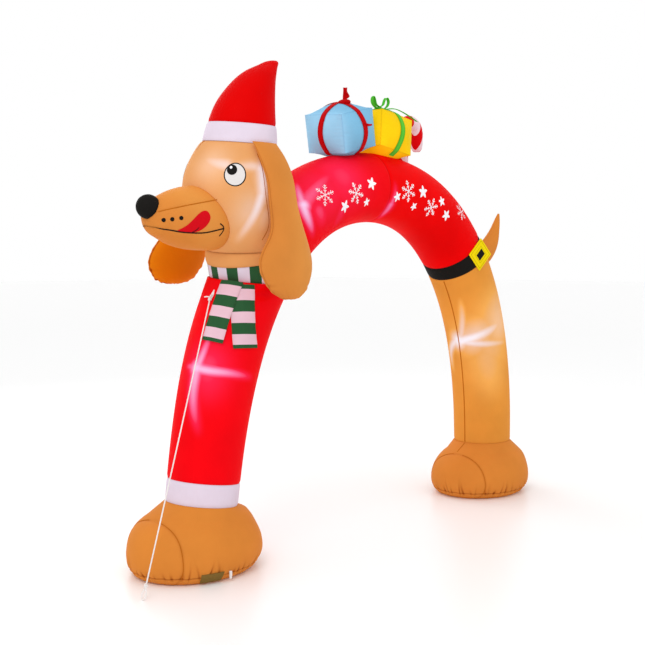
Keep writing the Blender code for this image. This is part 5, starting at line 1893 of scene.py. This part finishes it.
# %% The rope's tab
TAB_FOOT = np.array([-1.04401, -0.01825, 1.28567]) + SHIFT
TAB_UP = np.array([0.43276, -0.00134, 0.90151])
TAB_OUT = np.array([-0.89501, -0.12052, 0.42946])
TAB_SHAPE = [(-0.018, 0.0035), (-0.004, 0.0085), (0.008, 0.0085), (0.030, 0.0020)]  # up, half width
TAB_HOLE, TAB_THICK = 0.0036, 0.0020


def crossed(p, q):
    """The third part of the cross product of flat directions."""
    return p[..., 0] * q[..., 1] - p[..., 1] * q[..., 0]


a = np.radians(turns(72))
way = np.stack([np.cos(a), np.sin(a)], -1)
shape = np.array([(x, -w) for x, w in TAB_SHAPE] + [(x, w) for x, w in TAB_SHAPE[::-1]])
edge = np.roll(shape, -1, 0) - shape
reach = 1 / (crossed(way[:, None], edge) / crossed(shape, edge)).max(axis=1)
steps = np.linspace(0, 1, 7)[:, None, None]
top = way * TAB_HOLE + (way * reach[:, None] - way * TAB_HOLE) * steps
loop = np.concatenate([top, top[::-1], top[:1]])
level = np.array([TAB_THICK] * 7 + [0.0] * 7 + [TAB_THICK])[:, None, None]
grid = TAB_FOOT + TAB_OUT * (0.0006 + level) + loop[..., :1] * TAB_UP
grid = grid + loop[..., 1:] * np.cross(TAB_OUT, TAB_UP)
tab = skin("tab_webbing", grid, np.concatenate([loop, loop[:, :1]], axis=1), caps=None)
finish_piece(tab, webbing, "rope_tab")

# %% [markdown]
# ## The eyes
#
# The face is printed, so it is a set of thin shapes laid on the cloth: an outline in the
# surface's own two numbers, filled in ring by ring. The photograph shows one side of the face,
# and the far side mirrors it.

# %% The eyes
BRIGHT = (1.0, 1.0, 1.0, 1.0)
tongue_stops = [(0.0, 0.55, 0.004, 0.010), (1.0, 0.6, 0.0, 0.0)]
white_print = cloth("white print", [(0.0, 0.84, 0.82, 0.86), BRIGHT], weave=0.02)
eye_print = cloth("eye print", [(0.0, 0.64, 0.61, 0.595), BRIGHT], weave=0.02)
tongue_print = cloth("tongue print", tongue_stops, weave=0.02)


def ellipse(middle_u, middle_v, half_u, half_v, count=64):
    """Points round an ellipse in a surface's two numbers."""
    a = np.radians(turns(count))
    return np.stack([middle_u + half_u * np.sin(a), middle_v + half_v * np.cos(a)], -1)


EYE = [
    # name, height, turn, half height, half turn, how far it stands off, cloth
    ("eye_rim", 0.3975, 130.2, 0.0535, 12.3, 0.0005, black_cloth),
    ("eye_white", 0.3975, 130.2, 0.0483, 11.0, 0.0010, eye_print),
    ("pupil", 0.4180, 134.0, 0.0235, 5.7, 0.0015, black_cloth),
    ("eye_spark", 0.4285, 135.4, 0.0062, 1.45, 0.0020, white_print),
]
for name, height, turn, half_height, half_turn, lift, print_cloth in EYE:
    outlines = [ellipse(height, side * turn, half_height, half_turn) for side in (-1, 1)]
    printed(name, [print_shape(head_point, edge, lift) for edge in outlines], print_cloth, "head")

# %% [markdown]
# ## Mouth, tongue and whisker dots
#
# These lie on the muzzle, by place along X and turn. Line and dots have their mirror images on
# the far side; the tongue hangs out on the near side only.

# %% Mouth, tongue and whisker dots
MOUTH = [(-1.4032, -125.6), (-1.4081, -92.7), (-1.4056, -69.9), (-1.3955, -45.6), (-1.3756, -36.1)]
MOUTH += [(-1.3199, -30.4), (-1.260, -26.8), (-1.197, -23.7), (-1.143, -18.7), (-1.101, -14.8)]
TONGUE = [(-1.3205, -29.8), (-1.2982, -16.9), (-1.2758, -6.0), (-1.2546, 4.1), (-1.2343, 11.6)]
TONGUE += [(-1.2133, 16.0), (-1.1932, 15.4), (-1.1817, 10.4), (-1.1779, 3.4), (-1.1856, -5.4)]
TONGUE += [(-1.2046, -14.8), (-1.2296, -22.1), (-1.2648, -26.4), (-1.2953, -28.6)]
TICK = [(-1.1235, -6.0), (-1.0996, -13.0), (-1.1096, -29.2)]
CREASE = [(-1.260, -26.4), (-1.241, -19.9), (-1.230, -13.6)]
DOTS = [(-1.383, -6.4), (-1.351, -1.7), (-1.315, 2.5)]


def mirrored(route):
    """A route on the far side of the muzzle."""
    return [(x, 180.0 - turn) for x, turn in route]


def muzzle_print(x, turn_deg, lift):
    """The muzzle's skin, which the seam's ripples don't reach here."""
    return muzzle_point(x, turn_deg, lift + 0.0006)


tongue = closed_through([(x * 8, turn / 60) for x, turn in TONGUE], 110) * (1 / 8, 60)
printed("tongue", [print_shape(muzzle_print, tongue, 0.0004)], tongue_print, "muzzle")
dots = [spot(muzzle_print, x, turn, 0.0095) for x, turn in DOTS + mirrored(DOTS)]
parts = [print_shape(muzzle_print, edge, 0.0006, 4) for edge in dots]
parts += [print_line(muzzle_print, route, 0.0066, 0.0010, 120) for route in (MOUTH, mirrored(MOUTH[2:]))]
parts += [print_line(muzzle_print, route, 0.0055, 0.0010, 40) for route in (TICK, mirrored(TICK))]
parts.append(print_line(muzzle_print, CREASE, 0.0045, 0.0010, 30, 0.8))
printed("mouth_line", parts, black_cloth, "muzzle")

# %% [markdown]
# ## Snowflakes and stars
#
# The back carries white prints, strewn along the outer side of the crown. Each is drawn flat in
# metres and then wrapped on the tube, so it keeps its size however the tube bends.

# %% Snowflakes and stars
def wrapped(along, turn_deg, spin_deg=0.0):
    """Wraps flat metres round a spot of the tube: x runs along it, y round it."""
    radius = float(np.interp(along, tube_along, tube[:, 2]))
    c, s = cos(radians(spin_deg)), sin(radians(spin_deg))

    def place(x, y, lift):
        return tube_point(along + c * x - s * y, turn_deg + np.degrees((s * x + c * y) / radius), lift)

    return place


def snowflake(along, turn_deg, size, spin_deg=0.0, wide=0.0034):
    """Six arms, each with three pairs of side twigs, as strips."""
    place = wrapped(along, turn_deg, spin_deg)
    parts = []
    for arm in range(6):
        a = pi / 3 * arm
        way = np.array([cos(a), sin(a)])
        parts.append(print_line(place, [0.02 * size * way, size * way], wide, 0.0006, 12))
        for out, twig in ((0.34, 0.20), (0.60, 0.27), (0.82, 0.16)):
            for turned in (-1, 1):
                b = a + turned * radians(50)
                tip = way * out * size + np.array([cos(b), sin(b)]) * twig * size
                parts.append(print_line(place, [way * out * size, tip], wide * 0.85, 0.0006, 6))
    return parts


def star(along, turn_deg, size, spin_deg=0.0, points=5):
    """A star's outline: the radius swings between its size and two fifths of it."""
    share = np.arange(points * 16) / (points * 16)
    swing = np.abs(((share * points) % 1.0) * 2 - 1)
    radius = size * (0.42 + 0.58 * swing**1.15)
    a = share * 2 * pi
    edge = np.stack([radius * np.cos(a), radius * np.sin(a)], -1)
    return [print_shape(wrapped(along, turn_deg, spin_deg), edge, 0.0006, 6)]


MARKS = {
    # drawn by, along, turn, size, spin and, where it isn't the usual one, the width of its lines
    "front": [
        (snowflake, 1.640, 71.0, 0.057, 10.0),
        (star, 1.742, 104.0, 0.036, 20.0),
        (snowflake, 1.845, 92.0, 0.058, 25.0, 0.0046),
        (star, 1.930, 112.0, 0.026, 50.0),
        (star, 1.975, 84.0, 0.036, 5.0),
    ],
    "rear": [
        (star, 2.192, 107.0, 0.030, 30.0),
        (snowflake, 2.278, 95.0, 0.060, 12.0, 0.0046),
        (star, 2.362, 117.0, 0.026, 10.0),
        (star, 2.402, 88.0, 0.038, 40.0),
        (snowflake, 2.505, 106.0, 0.055, 30.0, 0.0046),
        (star, 2.575, 85.0, 0.030, 15.0),
        (star, 2.650, 100.0, 0.034, 60.0),
        (snowflake, 2.766, 67.0, 0.050, 5.0),
    ],
}
for panel, marks in MARKS.items():
    parts = [part for draw, *numbers in marks for part in draw(*numbers)]
    printed(f"{panel}_snowflakes", parts, white_print, f"body_{panel}")

# %% [markdown]
# ## Seam lines
#
# Last, the sewn lines that show as darker threads: down the inside of the rear leg, along both
# sides of the muzzle, between face and ear on both sides, the dart on the brow, the arc behind
# each toe and the instep of the rear foot.

# %% Seam lines
LEG_SEAM = [(3.105, 174.0), (3.40, 177.0), (3.80, 180.0), (4.262, 181.0)]
SIDE_SEAM = [(-1.397, 24.3), (-1.296, 29.1), (-1.193, 32.8), (-1.117, 37.0)]
FACE_SEAM = [(0.500, -104.0), (0.480, -101.6), (0.382, -96.3)]
FACE_SEAM += [(0.270, -94.0), (0.165, -96.8), (0.112, -108.3)]
BROW = [(0.546, 166.0), (0.529, 160.0), (0.500, 160.4)]


def sewn(name, node, *lines):
    """Sewn lines as one piece: the surface of each, its route, width, lift and count of points."""
    printed(name, [print_line(*line) for line in lines], seam_thread, node)


def toe_route(sizes, side):
    """Heights and oval angles where a foot's skin crosses the plane of its toe seam."""
    height = np.linspace(BASE_SEAM, 0.320, 400)
    half_x, shift = (np.interp(height, sizes[:, 0], sizes[:, i]) for i in (1, 3))
    cut = (-TOE_SEAM - shift) / half_x
    height, cut = height[cut > -1], cut[cut > -1]
    return np.stack([height, side * np.degrees(np.arccos(cut))], -1)[::6]


sewn("leg_seam", "rear_leg", (tube_point, LEG_SEAM, 0.0070, 0.0007, 160))
both = [(muzzle_print, route, 0.0040, 0.0005, 80) for route in (SIDE_SEAM, mirrored(SIDE_SEAM))]
sewn("muzzle_seam", "muzzle", *both)
far_face = [(height, -turn) for height, turn in FACE_SEAM]
both = [(head_point, route, 0.0035, 0.0006, 100) for route in (FACE_SEAM, far_face)]
sewn("face_seam", "head", *both, (head_point, BROW, 0.0040, 0.0016, 24))
for foot in ("front", "rear"):
    place, sizes = foot_skin(foot)
    lines = [(place, toe_route(sizes, side), 0.0030, -0.0010, 160) for side in (-1, 1)]
    if foot == "rear":
        top = sizes[-1, 0]
        instep = [(top - 0.004, -180.5), (top - 0.016, -181.5), (top - 0.034, -183.0), (0.266, -184.5)]
        lines.append((place, instep, 0.0040, 0.0012, 30))
    sewn(f"{foot}_toe_seam", f"{foot}_foot", *lines)

# %% [markdown]
# ## Floor and light
#
# A pale floor and a white sky give the even light of a studio. One broad lamp in front gives the
# cloth its form, and a weaker one on the other side fills the shadows.

# %% Floor, sky and lamps
FLOOR_HALF = 60.0
LAMP_AIM, LAMP_WIDE = (0, 0, 1.2), 3.0
corners = [(x * FLOOR_HALF, y * FLOOR_HALF, 0) for x, y in ((-1, -1), (1, -1), (1, 1), (-1, 1))]
floor_mesh = bpy.data.meshes.new("floor")
floor_mesh.from_pydata(corners, [], [(0, 1, 2, 3)])
floor = added("floor", floor_mesh)
floor_paint = bpy.data.materials.new("floor")
floor_paint.use_nodes = True
floor_paint.node_tree.nodes["Principled BSDF"].inputs["Base Color"].default_value = (0.97, 0.97, 0.97, 1)
floor_paint.node_tree.nodes["Principled BSDF"].inputs["Roughness"].default_value = 0.35
floor_mesh.materials.append(floor_paint)

world = bpy.data.worlds.new("studio")
world.use_nodes = True
world.node_tree.nodes["Background"].inputs["Color"].default_value = (1, 1, 1, 1)
world.node_tree.nodes["Background"].inputs["Strength"].default_value = 1.0
bpy.context.scene.world = world
bpy.context.scene.view_settings.view_transform = "Standard"


def studio_lamp(name, place, power):
    """A square lamp that faces the arch's middle."""
    light = bpy.data.lights.new(name, "AREA")
    light.size = LAMP_WIDE
    light.energy = power
    lamp = added(name, light)
    lamp.location = place
    lamp.rotation_euler = (Vector(LAMP_AIM) - Vector(place)).to_track_quat("-Z", "Y").to_euler()


studio_lamp("front_lamp", (-5.0, -2.5, 5.0), 90)
studio_lamp("back_lamp", (1.5, 5.0, 4.0), 50)
print(len(bpy.data.lights), "lamps")
